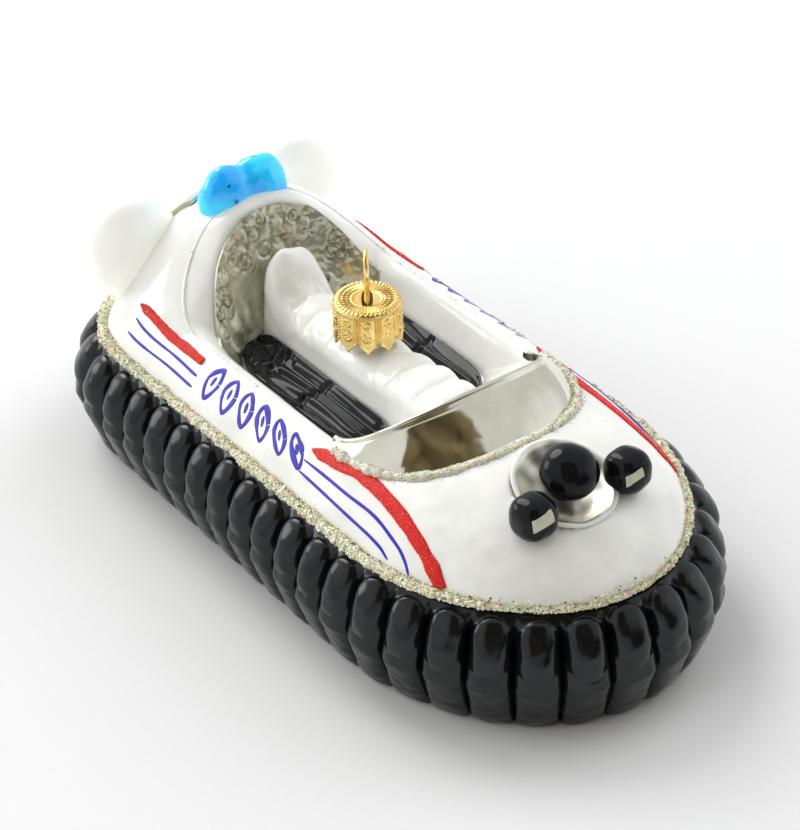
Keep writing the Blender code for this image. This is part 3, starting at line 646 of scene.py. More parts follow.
# Painted stripes, lines and motif
# Each flank carries a red glitter stripe at the stern and one that sweeps down to the bow, thin blue brush
# lines beside them, and a row of hand-painted blue lozenges between. All of it is repeated on the port side.
STROKE_SIDES = 9
STROKE_ROOT = 0.35
RED_HEIGHT = 0.3
RED_REAR_HALF_WIDTH = 0.95
RED_FRONT_HALF_WIDTH = 1.25
RED_FLAKE = 0.15
BLUE_HALF_WIDTH = 0.3
BLUE_HEIGHT = 0.12
MOTIF_HALF_WIDTH = 0.5
MOTIF_HEIGHT = 0.06
DOT_HALF_LENGTH, DOT_HALF_WIDTH = 1.1, 0.42
RED_REAR = ((0.5995, 0.455), (0.620, 0.60), (0.648, 0.665), (0.6766, 0.655))
RED_FRONT = ((0.812, 0.655), (0.829, 0.72), (0.849, 0.765), (0.8703, 0.735), (0.8859, 0.511), (0.8943, 0.25),
             (0.8974, 0.098), (0.8985, 0.005))
BLUE_LINES = (
    ((0.6068, 0.353), (0.645, 0.435), (0.6818, 0.395)),
    ((0.6120, 0.200), (0.650, 0.25), (0.6839, 0.222)),
    ((0.8005, 0.429), (0.8328, 0.427), (0.8630, 0.376), (0.8766, 0.199), (0.8797, 0.096), (0.8799, 0.01)),
    ((0.7943, 0.253), (0.8182, 0.224), (0.8484, 0.174), (0.8620, 0.113), (0.8672, 0.041)),
)
LOZENGES = 6
LOZENGE_FIRST, LOZENGE_LAST = 0.6975, 0.7925
LOZENGE_UP, LOZENGE_FALL = 0.50, 0.02
LOZENGE_HALF_LENGTH, LOZENGE_HALF_HEIGHT = 1.75, 3.3
LOZENGE_POWER = 1.35


def on_flank(places):
    """Points and unit normals of the deck at places given as (around, up), and its size along both.

    Worked out from a small step either way: the sizes are the millimetres that one of each place spans.
    """
    around, up = places[..., 0], places[..., 1]
    step = 0.0008
    points = deck_surface(around, up)
    ahead = deck_surface(around + step, up) - deck_surface(around - step, up)
    above = deck_surface(around, up + step) - deck_surface(around, up - step)
    spans = np.stack([np.linalg.norm(ahead, axis=-1), np.linalg.norm(above, axis=-1)], axis=-1) / (2 * step)
    return points, unit(np.cross(ahead, above)), spans


def stroke_grid(points, normals, half_widths, height):
    """A raised brush stroke: at each point of a line, a low arch across it, closed along its underside."""
    along = unit(np.gradient(points, axis=0))
    across = np.cross(normals, along)
    angle = np.linspace(0, math.pi, STROKE_SIDES)
    x, z = np.cos(angle), np.sin(angle) ** 0.7 * height + 0.02
    arch = (points[:, None] + across[:, None] * (x * half_widths[:, None])[..., None]
            + normals[:, None] * z[:, None])
    under = (points[:, None] + across[:, None] * (x[::-1] * half_widths[:, None])[..., None]
             - normals[:, None] * STROKE_ROOT)
    return np.concatenate([arch, under], axis=1)


def both_sides(*grids):
    """Grids of the starboard side, each followed by its mirror image on the port side."""
    return [side for grid in grids for side in (grid, grid * (-1.0, 1.0, 1.0))]


def flank_stroke(knots, count, half_width, height, seed, ends):
    """A stroke along the deck through (around, up) knots, thinned to a share of its width at its ends."""
    places = curve_through(knots, np.linspace(0, len(knots) - 1, count))
    points, normals, _ = on_flank(places)
    share = np.linspace(0, 1, count)
    swell = np.clip(np.minimum(ends[0] + share * 9, ends[1] + (1 - share) * 14), 0, 1) ** 0.6
    wobble = 1 + 0.08 * unevenness(points, 5.0, seed)
    return stroke_grid(points, normals, half_width * swell * wobble, height)


red_grids = both_sides(flank_stroke(RED_REAR, 80, RED_REAR_HALF_WIDTH, RED_HEIGHT, 21, (0.02, 0.5)),
                       flank_stroke(RED_FRONT, 150, RED_FRONT_HALF_WIDTH, RED_HEIGHT, 21, (0.02, 0.9)))
red_stripes = skin("red_stripes", *red_grids)


def sparkle(name, tints, shares, metallic, gloss):
    """Flake colours by the flakes' own tint attribute, from 0 to 1, with a clear glue coat.

    The first tint starts at 0, and each further one at its share.
    """
    material, shader, add = paint(name, tints[0], gloss, metallic, Coat_Weight=0.3, Coat_Roughness=0.1)
    tint = add("ShaderNodeAttribute", {"attribute_name": "tint"}).outputs["Fac"]
    ramp = add("ShaderNodeValToRGB", Fac=tint)
    ramp.color_ramp.interpolation = "CONSTANT"
    ramp.color_ramp.elements[0].color = (*tints[0], 1.0)
    ramp.color_ramp.elements.remove(ramp.color_ramp.elements[1])
    for place, tone in zip(shares, tints[1:]):
        ramp.color_ramp.elements.new(place).color = (*tone, 1.0)
    feed(shader, Base_Color=ramp.outputs["Color"])
    return material


def flakes(name, spots, normals, size, seed):
    """Glitter: one flat eight-sided grain at each spot, tipped at random about its normal.

    Each grain is a flattened octahedron of a random size with a random tint from 0 to 1.
    """
    random = np.random.default_rng(seed)
    count = len(spots)
    lean = unit(normals + random.normal(scale=0.45, size=(count, 3)))
    first = unit(np.cross(lean, random.normal(size=(count, 3))))
    second = np.cross(lean, first)
    reach = size * random.uniform(0.6, 1.3, (count, 1))
    flat = 0.3 * reach
    corners = np.stack([spots + first * reach, spots + second * reach * 0.8, spots - first * reach,
                        spots - second * reach * 0.8, spots + lean * flat, spots - lean * flat], axis=1)
    faces = np.array([(0, 1, 4), (1, 2, 4), (2, 3, 4), (3, 0, 4), (1, 0, 5), (2, 1, 5), (3, 2, 5), (0, 3, 5)])
    every = (faces[None] + 6 * np.arange(count)[:, None, None]).reshape(-1, 3)
    mesh = bpy.data.meshes.new(name)
    mesh.from_pydata((corners.reshape(-1, 3) * MM).tolist(), [], every.tolist())
    tint = mesh.attributes.new("tint", "FLOAT", "POINT")
    tint.data.foreach_set("value", np.repeat(random.uniform(0, 1, count), 6).astype(np.float32))
    return link_mesh(name, mesh)


def grained_glue(name, middle, edge, roughness, scale, depth, **sockets):
    """Glue full of grains: each grain goes from its middle's colour to its edge's, over a fine bump."""
    material, shader, add = paint(name, middle, roughness, **sockets)
    grain = grainy(add, scale)
    feed(shader, Base_Color=blend_colours(add, grain, middle, edge), Normal=bumped(add, grain, depth))
    return material


red_glue = grained_glue("red_glue", (0.50, 0.005, 0.003), (0.86, 0.018, 0.009), 0.4, 2400.0, 0.08,
                        Specular_IOR_Level=0.3)
dress(red_stripes, red_glue, "red_glitter")


def stroke_spots(grids, count, seed):
    """Random places on the raised faces of stroke grids, with the direction away from the grid's middle."""
    random = np.random.default_rng(seed)
    spots, normals = [], []
    for grid in grids:
        rows = random.uniform(0, len(grid) - 1.001, count)
        row, part = rows.astype(int), (rows % 1)[:, None]
        column = random.uniform(0, STROKE_SIDES - 1.001, count)
        lower, share = column.astype(int), (column % 1)[:, None]
        near = grid[row, lower] * (1 - share) + grid[row, lower + 1] * share
        far = grid[row + 1, lower] * (1 - share) + grid[row + 1, lower + 1] * share
        spots.append(near * (1 - part) + far * part)
        normals.append(grid[row, STROKE_SIDES // 2] - grid[row, STROKE_SIDES + STROKE_SIDES // 2])
    return np.concatenate(spots), unit(np.concatenate(normals))


red_spots, red_normals = stroke_spots(red_grids, 1100, 31)
red_flakes = flakes("red_stripe_glitter", red_spots, red_normals, RED_FLAKE, 32)
red_sparkle = sparkle("red_glitter_flakes",
                      ((0.78, 0.016, 0.010), (0.90, 0.045, 0.02), (0.48, 0.004, 0.004), (0.98, 0.30, 0.18)),
                      (0.45, 0.75, 0.965), 0.3, 0.3)
dress(red_flakes, red_sparkle, "red_glitter")

line_grids = both_sides(*(flank_stroke(knots, 90, BLUE_HALF_WIDTH, BLUE_HEIGHT, 40 + k, (0.3, 0.3))
                          for k, knots in enumerate(BLUE_LINES)))


def lozenge_stroke(centre, seed):
    """A closed brush stroke round a lozenge: its two half diagonals times powers of sine and cosine."""
    angle = np.linspace(0.12, 2 * math.pi + 0.05, 72)
    x = bent(np.cos(angle), LOZENGE_POWER) * LOZENGE_HALF_LENGTH
    y = bent(np.sin(angle), LOZENGE_POWER) * LOZENGE_HALF_HEIGHT
    places = np.array(centre) + np.stack([x, y], axis=1) / on_flank(np.array([centre]))[2]
    points, normals, _ = on_flank(places)
    width = MOTIF_HALF_WIDTH * (1 + 0.22 * unevenness(points, 4.0, seed))
    return stroke_grid(points, normals, width, MOTIF_HEIGHT)


def dot_stroke(centre):
    """A short thick stroke in the middle of a lozenge."""
    along = np.linspace(-1, 1, 14)[:, None]
    places = np.array(centre) + along * (0.0, DOT_HALF_LENGTH) / on_flank(np.array([centre]))[2]
    points, normals, _ = on_flank(places)
    swell = np.sqrt(np.clip(1 - along[:, 0] ** 2, 0.02, 1))
    return stroke_grid(points, normals, DOT_HALF_WIDTH * swell, MOTIF_HEIGHT)


lozenge_grids = []
for k, middle in enumerate(np.linspace(LOZENGE_FIRST, LOZENGE_LAST, LOZENGES)):
    centre = (middle, LOZENGE_UP - LOZENGE_FALL * k / LOZENGES)
    lozenge_grids += both_sides(lozenge_stroke(centre, 60 + k), dot_stroke(centre))
blue_enamel = enamelled("blue_enamel", (0.035, 0.03, 0.46), (0.10, 0.035, 0.40), 0.25, 0.15, 500.0, 0.02,
                        Specular_IOR_Level=0.3)
dress(skin("blue_lines", *line_grids), blue_enamel, "blue_line")
dress(skin("blue_lozenges", *lozenge_grids), blue_enamel, "blue_line")


# Glitter
# Coarse glitter in clear glue hides the joint between skirt and deck. A finer line runs along the foot of
# the windscreen, and a sparse one over the ridge of the hood.
BAND_SPOTS = 12500
BAND_HALF_WIDTH = 1.15
BAND_CENTRE_OFFSET = 0.6
BAND_BASE_Z = 24.3
BAND_HEIGHT = 0.85
COARSE_FLAKE = 0.3
FINE_FLAKE = 0.2
RIDGE_FLAKE = 0.18
STRAY_SPOTS = 800


def band_point(around, angle, lift):
    """The glitter bead over place around and angle over its section, half an ellipse of uneven width."""
    edge, out = deck_edge(around), edge_normals(around)
    uneven = 1 + 0.17 * unevenness(level(edge, 0.0), 9.0, 70) + 0.14 * unevenness(level(edge, 0.0), 3.0, 71)
    bow = nearness_to_bow(edge)
    uneven = uneven * (1 - 0.42 * bow)
    offset = BAND_CENTRE_OFFSET * (1 - 0.95 * bow) + (BAND_HALF_WIDTH + lift) * uneven * np.cos(angle)
    height = BAND_BASE_Z + (BAND_HEIGHT + lift) * uneven * np.sin(angle)
    return level(edge + out * offset[..., None], height)


band_around, band_angle = np.meshgrid(np.arange(720) / 720, np.linspace(-0.25, math.pi + 0.35, 14))
band_grid = band_point(band_around, band_angle, 0.0)
band_grid += 0.06 * unevenness(band_grid, 1.6, 72)[..., None]
band_bed = skin("skirt_glitter_bed", band_grid, closed=True)
random = np.random.default_rng(73)
spot_around, spot_angle = random.uniform(0, 1, BAND_SPOTS), random.uniform(-0.2, math.pi + 0.25, BAND_SPOTS)
band_spots = band_point(spot_around, spot_angle, random.uniform(-0.05, 0.16, BAND_SPOTS))
band_core = level(deck_edge(spot_around) + edge_normals(spot_around) * BAND_CENTRE_OFFSET, BAND_BASE_Z)
band_normals = unit(band_spots - band_core)
stray_around = random.uniform(0, 1, STRAY_SPOTS)
stray_up = 0.004 + 0.014 * random.uniform(0, 1, STRAY_SPOTS) ** 2.5
stray_spots = deck_surface(stray_around, stray_up)
band_spots = np.concatenate([band_spots, stray_spots])
band_normals = np.concatenate([band_normals, level(edge_normals(stray_around), 1.0)])
band_flakes = flakes("skirt_glitter_flakes", band_spots, band_normals, COARSE_FLAKE, 74)
glue = grained_glue("glitter_glue", (0.30, 0.30, 0.17), (0.88, 0.85, 0.66), 0.45, 1500.0, 0.12,
                    Coat_Weight=0.2)
champagne = sparkle("champagne_glitter_flakes",
                    ((0.93, 0.89, 0.72), (0.97, 0.96, 0.90), (0.62, 0.78, 0.44), (0.88, 0.72, 0.32),
                     (0.46, 0.52, 0.30), (0.88, 0.48, 0.45), (0.12, 0.08, 0.06)),
                    (0.30, 0.52, 0.70, 0.84, 0.91, 0.96), 0.1, 0.3)
dress(band_bed, glue, "glitter", "skirt_glitter")
dress(band_flakes, champagne, "glitter")

deck_plan = deck_grid[:FLANK_ROWS, :, :2].reshape(-1, 2)
deck_heights = deck_grid[:FLANK_ROWS, :, 2].reshape(-1)


def on_deck(x, y):
    """Heights of the deck at plan places, a mean of its nearest grid points weighted by closeness."""
    apart = np.hypot(deck_plan[:, 0] - x[:, None], deck_plan[:, 1] - y[:, None])
    nearest = np.argsort(apart, axis=1)[:, :6]
    weight = 1 / (np.take_along_axis(apart, nearest, axis=1) + 0.05) ** 2
    return (deck_heights[nearest] * weight).sum(axis=1) / weight.sum(axis=1)


def front_arc(half_width, front_y, length, power, count):
    """Evenly spaced plan points round the front of an oval, from starboard to port."""
    angle = np.linspace(-math.pi / 2, math.pi / 2, 2401)
    x = half_width * bent(np.sin(angle), 2 / power)
    y = front_y + length * (1 - np.abs(np.cos(angle)) ** (2 / power))
    travel = travelled(x, y)
    even = np.linspace(0.0, travel[-1], count)
    return np.interp(even, travel, x), np.interp(even, travel, y)


def running_mean(values, width):
    """Values smoothed by the mean of a window, with their ends repeated."""
    padded = np.pad(values, width, mode="edge")
    return np.convolve(padded, np.ones(2 * width + 1) / (2 * width + 1), mode="valid")


def circle(count):
    """Evenly spaced angles once round."""
    return np.arange(count) / count * 2 * math.pi


def bead_grid(route, radius, sides=14, side=None):
    """A round bead along a route of points: circles of the given radii, square to the route.

    Each circle starts towards the side given, or else level with the route.
    """
    along = unit(np.gradient(route, axis=0))
    side = unit(np.cross(along, (0.0, 0.0, 1.0))) if side is None else np.broadcast_to(side, along.shape)
    third = np.cross(side, along)
    angle = circle(sides)
    ring = np.cos(angle)[:, None] * side[:, None] + np.sin(angle)[:, None] * third[:, None]
    return route[:, None] + ring * np.broadcast_to(radius, len(route))[:, None, None]


def bead_spots(grid, count, lift, seed):
    """Random places on a bead's surface, with the direction away from its axis."""
    random = np.random.default_rng(seed)
    row, column = random.integers(0, grid.shape[0], count), random.integers(0, grid.shape[1], count)
    middle = grid.mean(axis=1)[row]
    normals = unit(grid[row, column] - middle + random.normal(scale=0.25, size=(count, 3)))
    reach = np.linalg.norm(grid[row, column] - middle, axis=1, keepdims=True)
    jitter = np.gradient(grid.mean(axis=1), axis=0)[row] * random.uniform(-0.6, 0.6, (count, 1))
    return middle + jitter + normals * (reach + lift), normals


# half-width, front y, length and power of the bead's route round the foot of the windscreen
FOOT_ARC = (26.0, -37.7, 23.1, 2.2)
FOOT_BEAD_RADIUS = 0.85
foot_x, foot_y = front_arc(*FOOT_ARC, 420)
toward_end = (np.abs(foot_x) / FOOT_ARC[0]) ** 4
foot_x = foot_x * (1 - 0.065 * toward_end)
foot_z = running_mean(on_deck(foot_x, foot_y), 6) - 0.15 + 0.5 * toward_end
foot_route = points_at(foot_x, foot_y, foot_z)
foot_swell = 0.22 * unevenness(foot_route, 6.0, 80) + 0.12 * unevenness(foot_route, 2.5, 79)
foot_radius = FOOT_BEAD_RADIUS * (1 + foot_swell)
foot_bead = bead_grid(foot_route, foot_radius)
foot_bed = skin("screen_glitter_bed", foot_bead)
foot_spots, foot_normals = bead_spots(foot_bead, 4200, 0.05, 81)
random = np.random.default_rng(83)
stray = random.integers(0, len(foot_route), STRAY_SPOTS)
stray_x = foot_x[stray] * (1 + random.normal(scale=0.035, size=STRAY_SPOTS))
stray_y = foot_y[stray] + random.normal(scale=0.9, size=STRAY_SPOTS)
stray_spots = points_at(stray_x, stray_y, on_deck(stray_x, stray_y) + 0.03)
foot_spots = np.concatenate([foot_spots, stray_spots])
foot_normals = np.concatenate([foot_normals, np.broadcast_to((0.0, -0.4, 0.9), stray_spots.shape)])
foot_flakes = flakes("screen_glitter_flakes", foot_spots, foot_normals, FINE_FLAKE, 82)
pale_glue = grained_glue("pale_glue", (0.52, 0.52, 0.40), (0.90, 0.89, 0.80), 0.4, 1300.0, 0.12,
                         Coat_Weight=0.2)
dress(foot_bed, pale_glue, "glitter", "windscreen_glitter")
dress(foot_flakes, champagne, "glitter")

RIDGE_HALF_SHARE = 0.235
RIDGE_BEAD_RADIUS = 0.5
ridge_around = 0.5 + np.linspace(-RIDGE_HALF_SHARE, RIDGE_HALF_SHARE, 360)
ridge_route = coaming(ridge_around) + (0.0, 0.0, -0.35)
ridge_bead = bead_grid(ridge_route, RIDGE_BEAD_RADIUS)
ridge_bed = skin("hood_glitter_bed", ridge_bead)
ridge_spots, ridge_normals = bead_spots(ridge_bead, 1300, 0.04, 84)
ridge_flakes = flakes("hood_glitter_flakes", ridge_spots, ridge_normals, RIDGE_FLAKE, 85)
blush = sparkle("blush_glitter_flakes",
                ((0.90, 0.86, 0.76), (0.92, 0.92, 0.88), (0.88, 0.66, 0.60), (0.80, 0.34, 0.28),
                 (0.78, 0.80, 0.58)),
                (0.4, 0.7, 0.86, 0.92), 0.05, 0.3)
dress(ridge_bed, pearl, "pearl_white", "hood_glitter")
dress(ridge_flakes, blush, "glitter")


# The cockpit
# Under the hood the wall is bare silvered glass, hammered in rings above and run in drips below. The bench
# along the middle is white, with soft cushions before the neck, and each footwell has a black ribbed mat.
LINER_SPAN = (-0.132, 0.15)
LINER_LIFT = 0.62
LINER_THICKNESS = 0.5
DRIPS = 12
DRIP_RELIEF = 0.26
BUBBLES = 46
PLASTIC_RATIO = 1.32471795724


def grid_normals(grid):
    """Unit normals of a grid of points, from the slopes along its rows and columns."""
    return unit(np.cross(np.gradient(grid, axis=1), np.gradient(grid, axis=0)))


def liner_surface(shares, columns):
    """The hood's inner wall over place around and share of the way from lip to floor, and its painted shade.

    The upper part is hammered all over with round bubbles, spread evenly by a plastic-number sequence:
    each is a flat disc inside a groove, exp(-((r-1)/w)2). Below, drips are waves across the wall that
    die out upwards. The painted shade is 1 in the grooves, between the drips and along the top edge.
    """
    around = 0.5 + np.linspace(*LINER_SPAN, columns)
    lip, foot = mouth(around), floor_edge(around)
    wavy = 0.012 * unevenness(lip, 7.0, 89)
    down = shares[:, None] + wavy * (1 - shares[:, None]) ** 2
    grid = lip + (foot - lip) * down[..., None]
    normals = grid_normals(grid)
    random = np.random.default_rng(90)
    relief = 0.16 * unevenness(grid, 5.0, 91) + 0.025 * unevenness(grid, 1.8, 88)
    marks = np.zeros(grid.shape[:2])
    order = np.arange(BUBBLES)
    places = (0.5 + order / PLASTIC_RATIO) % 1.0
    levels = 0.04 + 0.4 * ((0.5 + order / PLASTIC_RATIO ** 2) % 1.0)
    places = 0.1 + 0.8 * ((places + random.normal(scale=0.02, size=BUBBLES)) % 1.0)
    for place, share, radius, depth in zip(places, levels, random.uniform(0.8, 2.3, BUBBLES),
                                           random.uniform(0.03, 0.34, BUBBLES)):
        centre = grid[int(share * (len(shares) - 1)), int(place * (columns - 1))]
        apart = np.linalg.norm(grid - centre, axis=2) / radius
        groove = np.exp(-((apart - 1) / 0.26) ** 2)
        relief += depth * (0.8 * np.clip(1.25 - apart, 0, 0.6) - groove)
        marks = np.maximum(marks, groove * (depth / 0.34) ** 1.5)
    drip = np.sin(np.linspace(0, 2 * math.pi * DRIPS, columns) + 0.8 * unevenness(grid, 9.0, 92))
    low = np.clip(shares[:, None] - 0.42, 0, 1) ** 0.7
    relief += DRIP_RELIEF * drip * low
    marks += 0.8 * np.clip(-drip, 0, 1) ** 2 * low + np.clip(1 - shares[:, None] / 0.02, 0, 1)
    fade = np.clip(np.minimum(shares, 1 - shares) * 14, 0, 1)[:, None]
    centred = np.clip(7 * (1 - np.abs(np.linspace(-1, 1, columns))), 0, 1)
    lift = LINER_LIFT * centred - 0.2 * (1 - centred) + relief * fade * centred
    return grid + normals * lift[..., None], normals, np.clip(marks, 0, 1)


def slab(name, grid, normals, thickness, sharp=50):
    """A sheet of even thickness behind a grid, closed round its edges."""
    sheet = np.concatenate([grid, (grid - normals * thickness)[::-1]], axis=0).transpose(1, 0, 2)
    return skin(name, sheet, sharp=sharp)


# Silvering shows the room in it. It has dulled to olive in cloudy patches; on the liner its hollows get
# painted shade.
silvering, silver_in, silver_out, add = finish_group(
    "old_silvering", ("Bright", "Dull"), ("Patch Size", "Dulling"))
cloud = spread(add, cloudy(add, silver_in["Patch Size"], 5.0, Roughness=0.65), 0.35, 0.7)
dulled = maths(add, "MULTIPLY", cloud, silver_in["Dulling"])
feed(silver_out, Colour=blend_colours(add, dulled, silver_in["Bright"], silver_in["Dull"]),
     Roughness=maths(add, "MULTIPLY_ADD", dulled, 0.16, 0.05), Height=cloudy(add, 150.0, 1.0))


def silvered(name, bright, dull, patch_size, dulling, wave_depth):
    """Mirror glass: the old_silvering group feeds colour, roughness and a slow bump."""
    material, shader, add = paint(name, bright, 0.08, 1.0)
    finish_with(silvering, shader, add, wave_depth, Bright=bright, Dull=dull,
                Patch_Size=patch_size, Dulling=dulling)
    return material


olive_silver = silvered("olive_silver", (0.58, 0.58, 0.48), (0.34, 0.33, 0.24), 160.0, 0.8, 0.05)
hammered, hammered_shader, add = paint("hammered_silver", (0.5, 0.5, 0.4), 0.3, 0.7, Specular_IOR_Level=0.6)
finish = add("ShaderNodeGroup", {"node_tree": silvering}, Bright=(0.68, 0.68, 0.56),
             Dull=(0.45, 0.44, 0.32), Patch_Size=170.0, Dulling=0.9).outputs
# Painted shade: the silver is darkened in the grooves, between the drips and along the top edge under the
# lip.
marks = maths(add, "MULTIPLY", add("ShaderNodeAttribute", {"attribute_name": "marks"}).outputs["Fac"], 0.44)
feed(hammered_shader, Base_Color=blend_colours(add, marks, finish["Colour"], (0.10, 0.10, 0.055)),
     Roughness=maths(add, "ADD", finish["Roughness"], 0.16))
liner_grid, liner_normals, liner_recess_shade = liner_surface(np.linspace(0.012, 0.985, 150), 420)
liner = slab("liner_wall", liner_grid, liner_normals, LINER_THICKNESS)
store_per_point(liner, "marks", np.concatenate([liner_recess_shade, liner_recess_shade[::-1]], axis=0).T)
dress(liner, hammered, "silvered_glass", "cockpit_liner")

BENCH_STATIONS = (
    # y, half-width, top height
    (-23.0, 4.4, 35.2),
    (-21.0, 5.3, 36.5),
    (-17.5, 6.0, 37.1),
    (-9.0, 6.4, 36.4),
    (-1.0, 6.6, 35.3),
    (8.0, 6.8, 34.9),
    (18.0, 6.8, 35.0),
    (25.0, 6.8, 35.3),
    (28.4, 6.9, 37.2),
    (31.2, 6.8, 40.4),
    (33.6, 6.3, 42.7),
    (35.2, 5.6, 42.6),
    (36.2, 4.6, 40.6),
    (36.6, 3.0, 37.0),
)
BENCH_SHOULDER = 4.5
BENCH_FLARE = 0.8
BENCH_REST_Y = 28.0
BENCH_FOLD_Y = 26.6
CUSHIONS = (
    # middle y, half-length, swell
    (-17.6, 3.9, 1.0),
    (-9.6, 3.9, 0.9),
    (-2.2, 3.4, 0.8),
    (17.5, 4.0, 0.7),
    (24.2, 2.4, 0.55),
)
NECK_Y = 8.0
NECK_SWELL = 1.0
NECK_SWELL_RADIUS = 7.4


def bench_surface(rows, columns):
    """The bench over place along it and angle over it: a rounded arch on upright sides.

    Each cushion is a dome in place along and across, with its front edge bowed, and a low round swell
    carries the neck.
    """
    stations = evenly(BENCH_STATIONS, rows)
    y, half, top = np.split(stations, 3, axis=1)
    angle = np.linspace(0, math.pi, columns)
    x = half * bent(np.cos(angle), 0.6)
    seated = np.clip((BENCH_REST_Y - y) / 5.0, 0, 1)
    shoulder = BENCH_SHOULDER * (1 + 0.9 * (1 - seated))
    z = top - shoulder + shoulder * np.sin(angle) ** (0.8 + 0.25 * (1 - seated))
    y = np.broadcast_to(y, x.shape).copy()
    upper = np.sin(angle) ** 0.6
    for middle, half_length, swell in CUSHIONS:
        bowed = (y - middle + 0.035 * x ** 2) / half_length
        dome = np.clip(1 - bowed ** 2 - (x / (half * 1.02)) ** 4, 0, 1) ** 0.7
        z += (swell * dome - 0.07 * np.exp(-((np.abs(bowed) - 1.0) / 0.3) ** 2)) * upper
        x = x * (1 + 0.04 * dome)
    from_neck = np.hypot(x, y - NECK_Y) / NECK_SWELL_RADIUS
    z += NECK_SWELL * np.exp(-from_neck ** 6) * upper
    spots = points_at(x, y, z)
    crinkle = np.exp(-((y - BENCH_FOLD_Y) / 1.6) ** 2)
    z += (0.24 * unevenness(spots, 6.0, 95) + (0.03 + 0.16 * crinkle) * unevenness(spots, 1.8, 96)) * upper
    grid = points_at(x, y, z)
    near = points_at(half + BENCH_FLARE, y[:, :1], FLOOR_Z)
    far = near * (-1.0, 1.0, 1.0)
    shins = [0.3 * foot + 0.7 * edge for foot, edge in ((near, grid[:, :1]), (far, grid[:, -1:]))]
    return np.concatenate([near, shins[0], grid, shins[1], far], axis=1)


dress(skin("bench_seat", bench_surface(260, 96), sharp=60), pearl, "pearl_white", "bench")

MAT_STATIONS = (
    # y, inner x, outer x
    (-8.6, 9.6, 13.0),
    (-7.4, 8.2, 15.2),
    (-4.0, 7.9, 16.8),
    (2.0, 7.9, 17.4),
    (20.0, 7.9, 17.4),
    (27.0, 7.9, 16.2),
    (31.0, 8.3, 13.6),
    (32.2, 9.2, 11.4),
)
SIDES = ((-1, "starboard"), (1, "port"))
MAT_BASE_Z = 26.3
MAT_ENDS = (-8.6, 32.4)
MAT_FOLD_Y = 9.5
MAT_FOLD_BOW = 0.036
MAT_CRUMPLE_Y = 19.0
MAT_RIBS = 2.6


def mat_surface(side, rows, columns):
    """A mat over place along it and share across it: a dished section between two raised edges.

    Ribs run along it as a sine of the share across, bent by slow waves. A fold crosses it near its middle,
    and towards its rear end it crumples instead.
    """
    stations = evenly(MAT_STATIONS, rows)
    y, inner, outer = np.split(stations, 3, axis=1)
    share = np.linspace(0, 1, columns)
    x = inner + (outer - inner) * share
    end = np.clip(np.minimum(y - MAT_ENDS[0], MAT_ENDS[1] - y) / 2.5, 0, 1)
    section = 1.0 + 1.15 * np.exp(-(share / 0.1) ** 2) + 0.3 * np.exp(-((1 - share) / 0.08) ** 2)
    plan = points_at(x, y, 0.0)
    middle = np.sin(share * math.pi) ** 0.5
    ribs = np.sin(share * MAT_RIBS * 2 * math.pi + 3.4 * unevenness(plan * (1.0, 0.3, 1.0), 13.0, 101))
    crumple = unevenness(plan, 3.2, 102)
    behind = np.clip((y - MAT_CRUMPLE_Y) / 5.0, 0, 1)
    relief = 0.4 * ribs * (1 - behind) + 0.42 * crumple * behind
    relief = relief + 0.1 * unevenness(plan * (1.0, 0.25, 1.0), 4.0, 105)
    fold = np.exp(-((y - MAT_FOLD_Y - side * MAT_FOLD_BOW * (x - 12) ** 2) / 0.8) ** 2)
    z = MAT_BASE_Z + section * (0.65 + 0.35 * end) + relief * middle * end - 0.45 * fold * middle
    grid = points_at(side * x, y, z)
    near, far = grid[:, :1].copy(), grid[:, -1:].copy()
    near[..., 2] = far[..., 2] = MAT_BASE_Z - 0.1
    return np.concatenate([near, grid, far], axis=1)


mat_enamel = enamelled("mat_enamel", (0.004, 0.005, 0.006), (0.010, 0.012, 0.014), 0.04, 0.06, 260.0, 0.04,
                       Specular_IOR_Level=0.24)
for side, side_name in SIDES:
    mat = skin(f"ribbed_mat_{side_name}", mat_surface(side, 190, 72), sharp=60)
    dress(mat, mat_enamel, "black_gloss", f"foot_mat_{side_name}")


# The windscreen
# A bulging band of silvered glass round the front of the cockpit, with a rounded rim. It mirrors the white
# tent and its open side, and behind its ends the cockpit's corners are silvered as well.
SCREEN_MIDDLE_Y = -14.0
SCREEN_SLANT = 14.0
SCREEN_BEND = 0.2
SCREEN_RIM_Y = -27.0
SCREEN_RIM_LENGTH = 15.0
# half-width, front y, length and power of the glass's foot, of its rim and of its seat behind the rim
SCREEN_FOOT_ARC = (25.7, -37.1, 23.1, 2.2)
SCREEN_RIM_ARC = (22.5, SCREEN_RIM_Y, SCREEN_RIM_LENGTH, 2.6)
SCREEN_SEAT_ARC = (21.3, -24.3, 12.2, 3.0)
SCREEN_RIM_Z = 33.7
SCREEN_RIM_RISE = 9.3
SCREEN_COLUMNS = 260


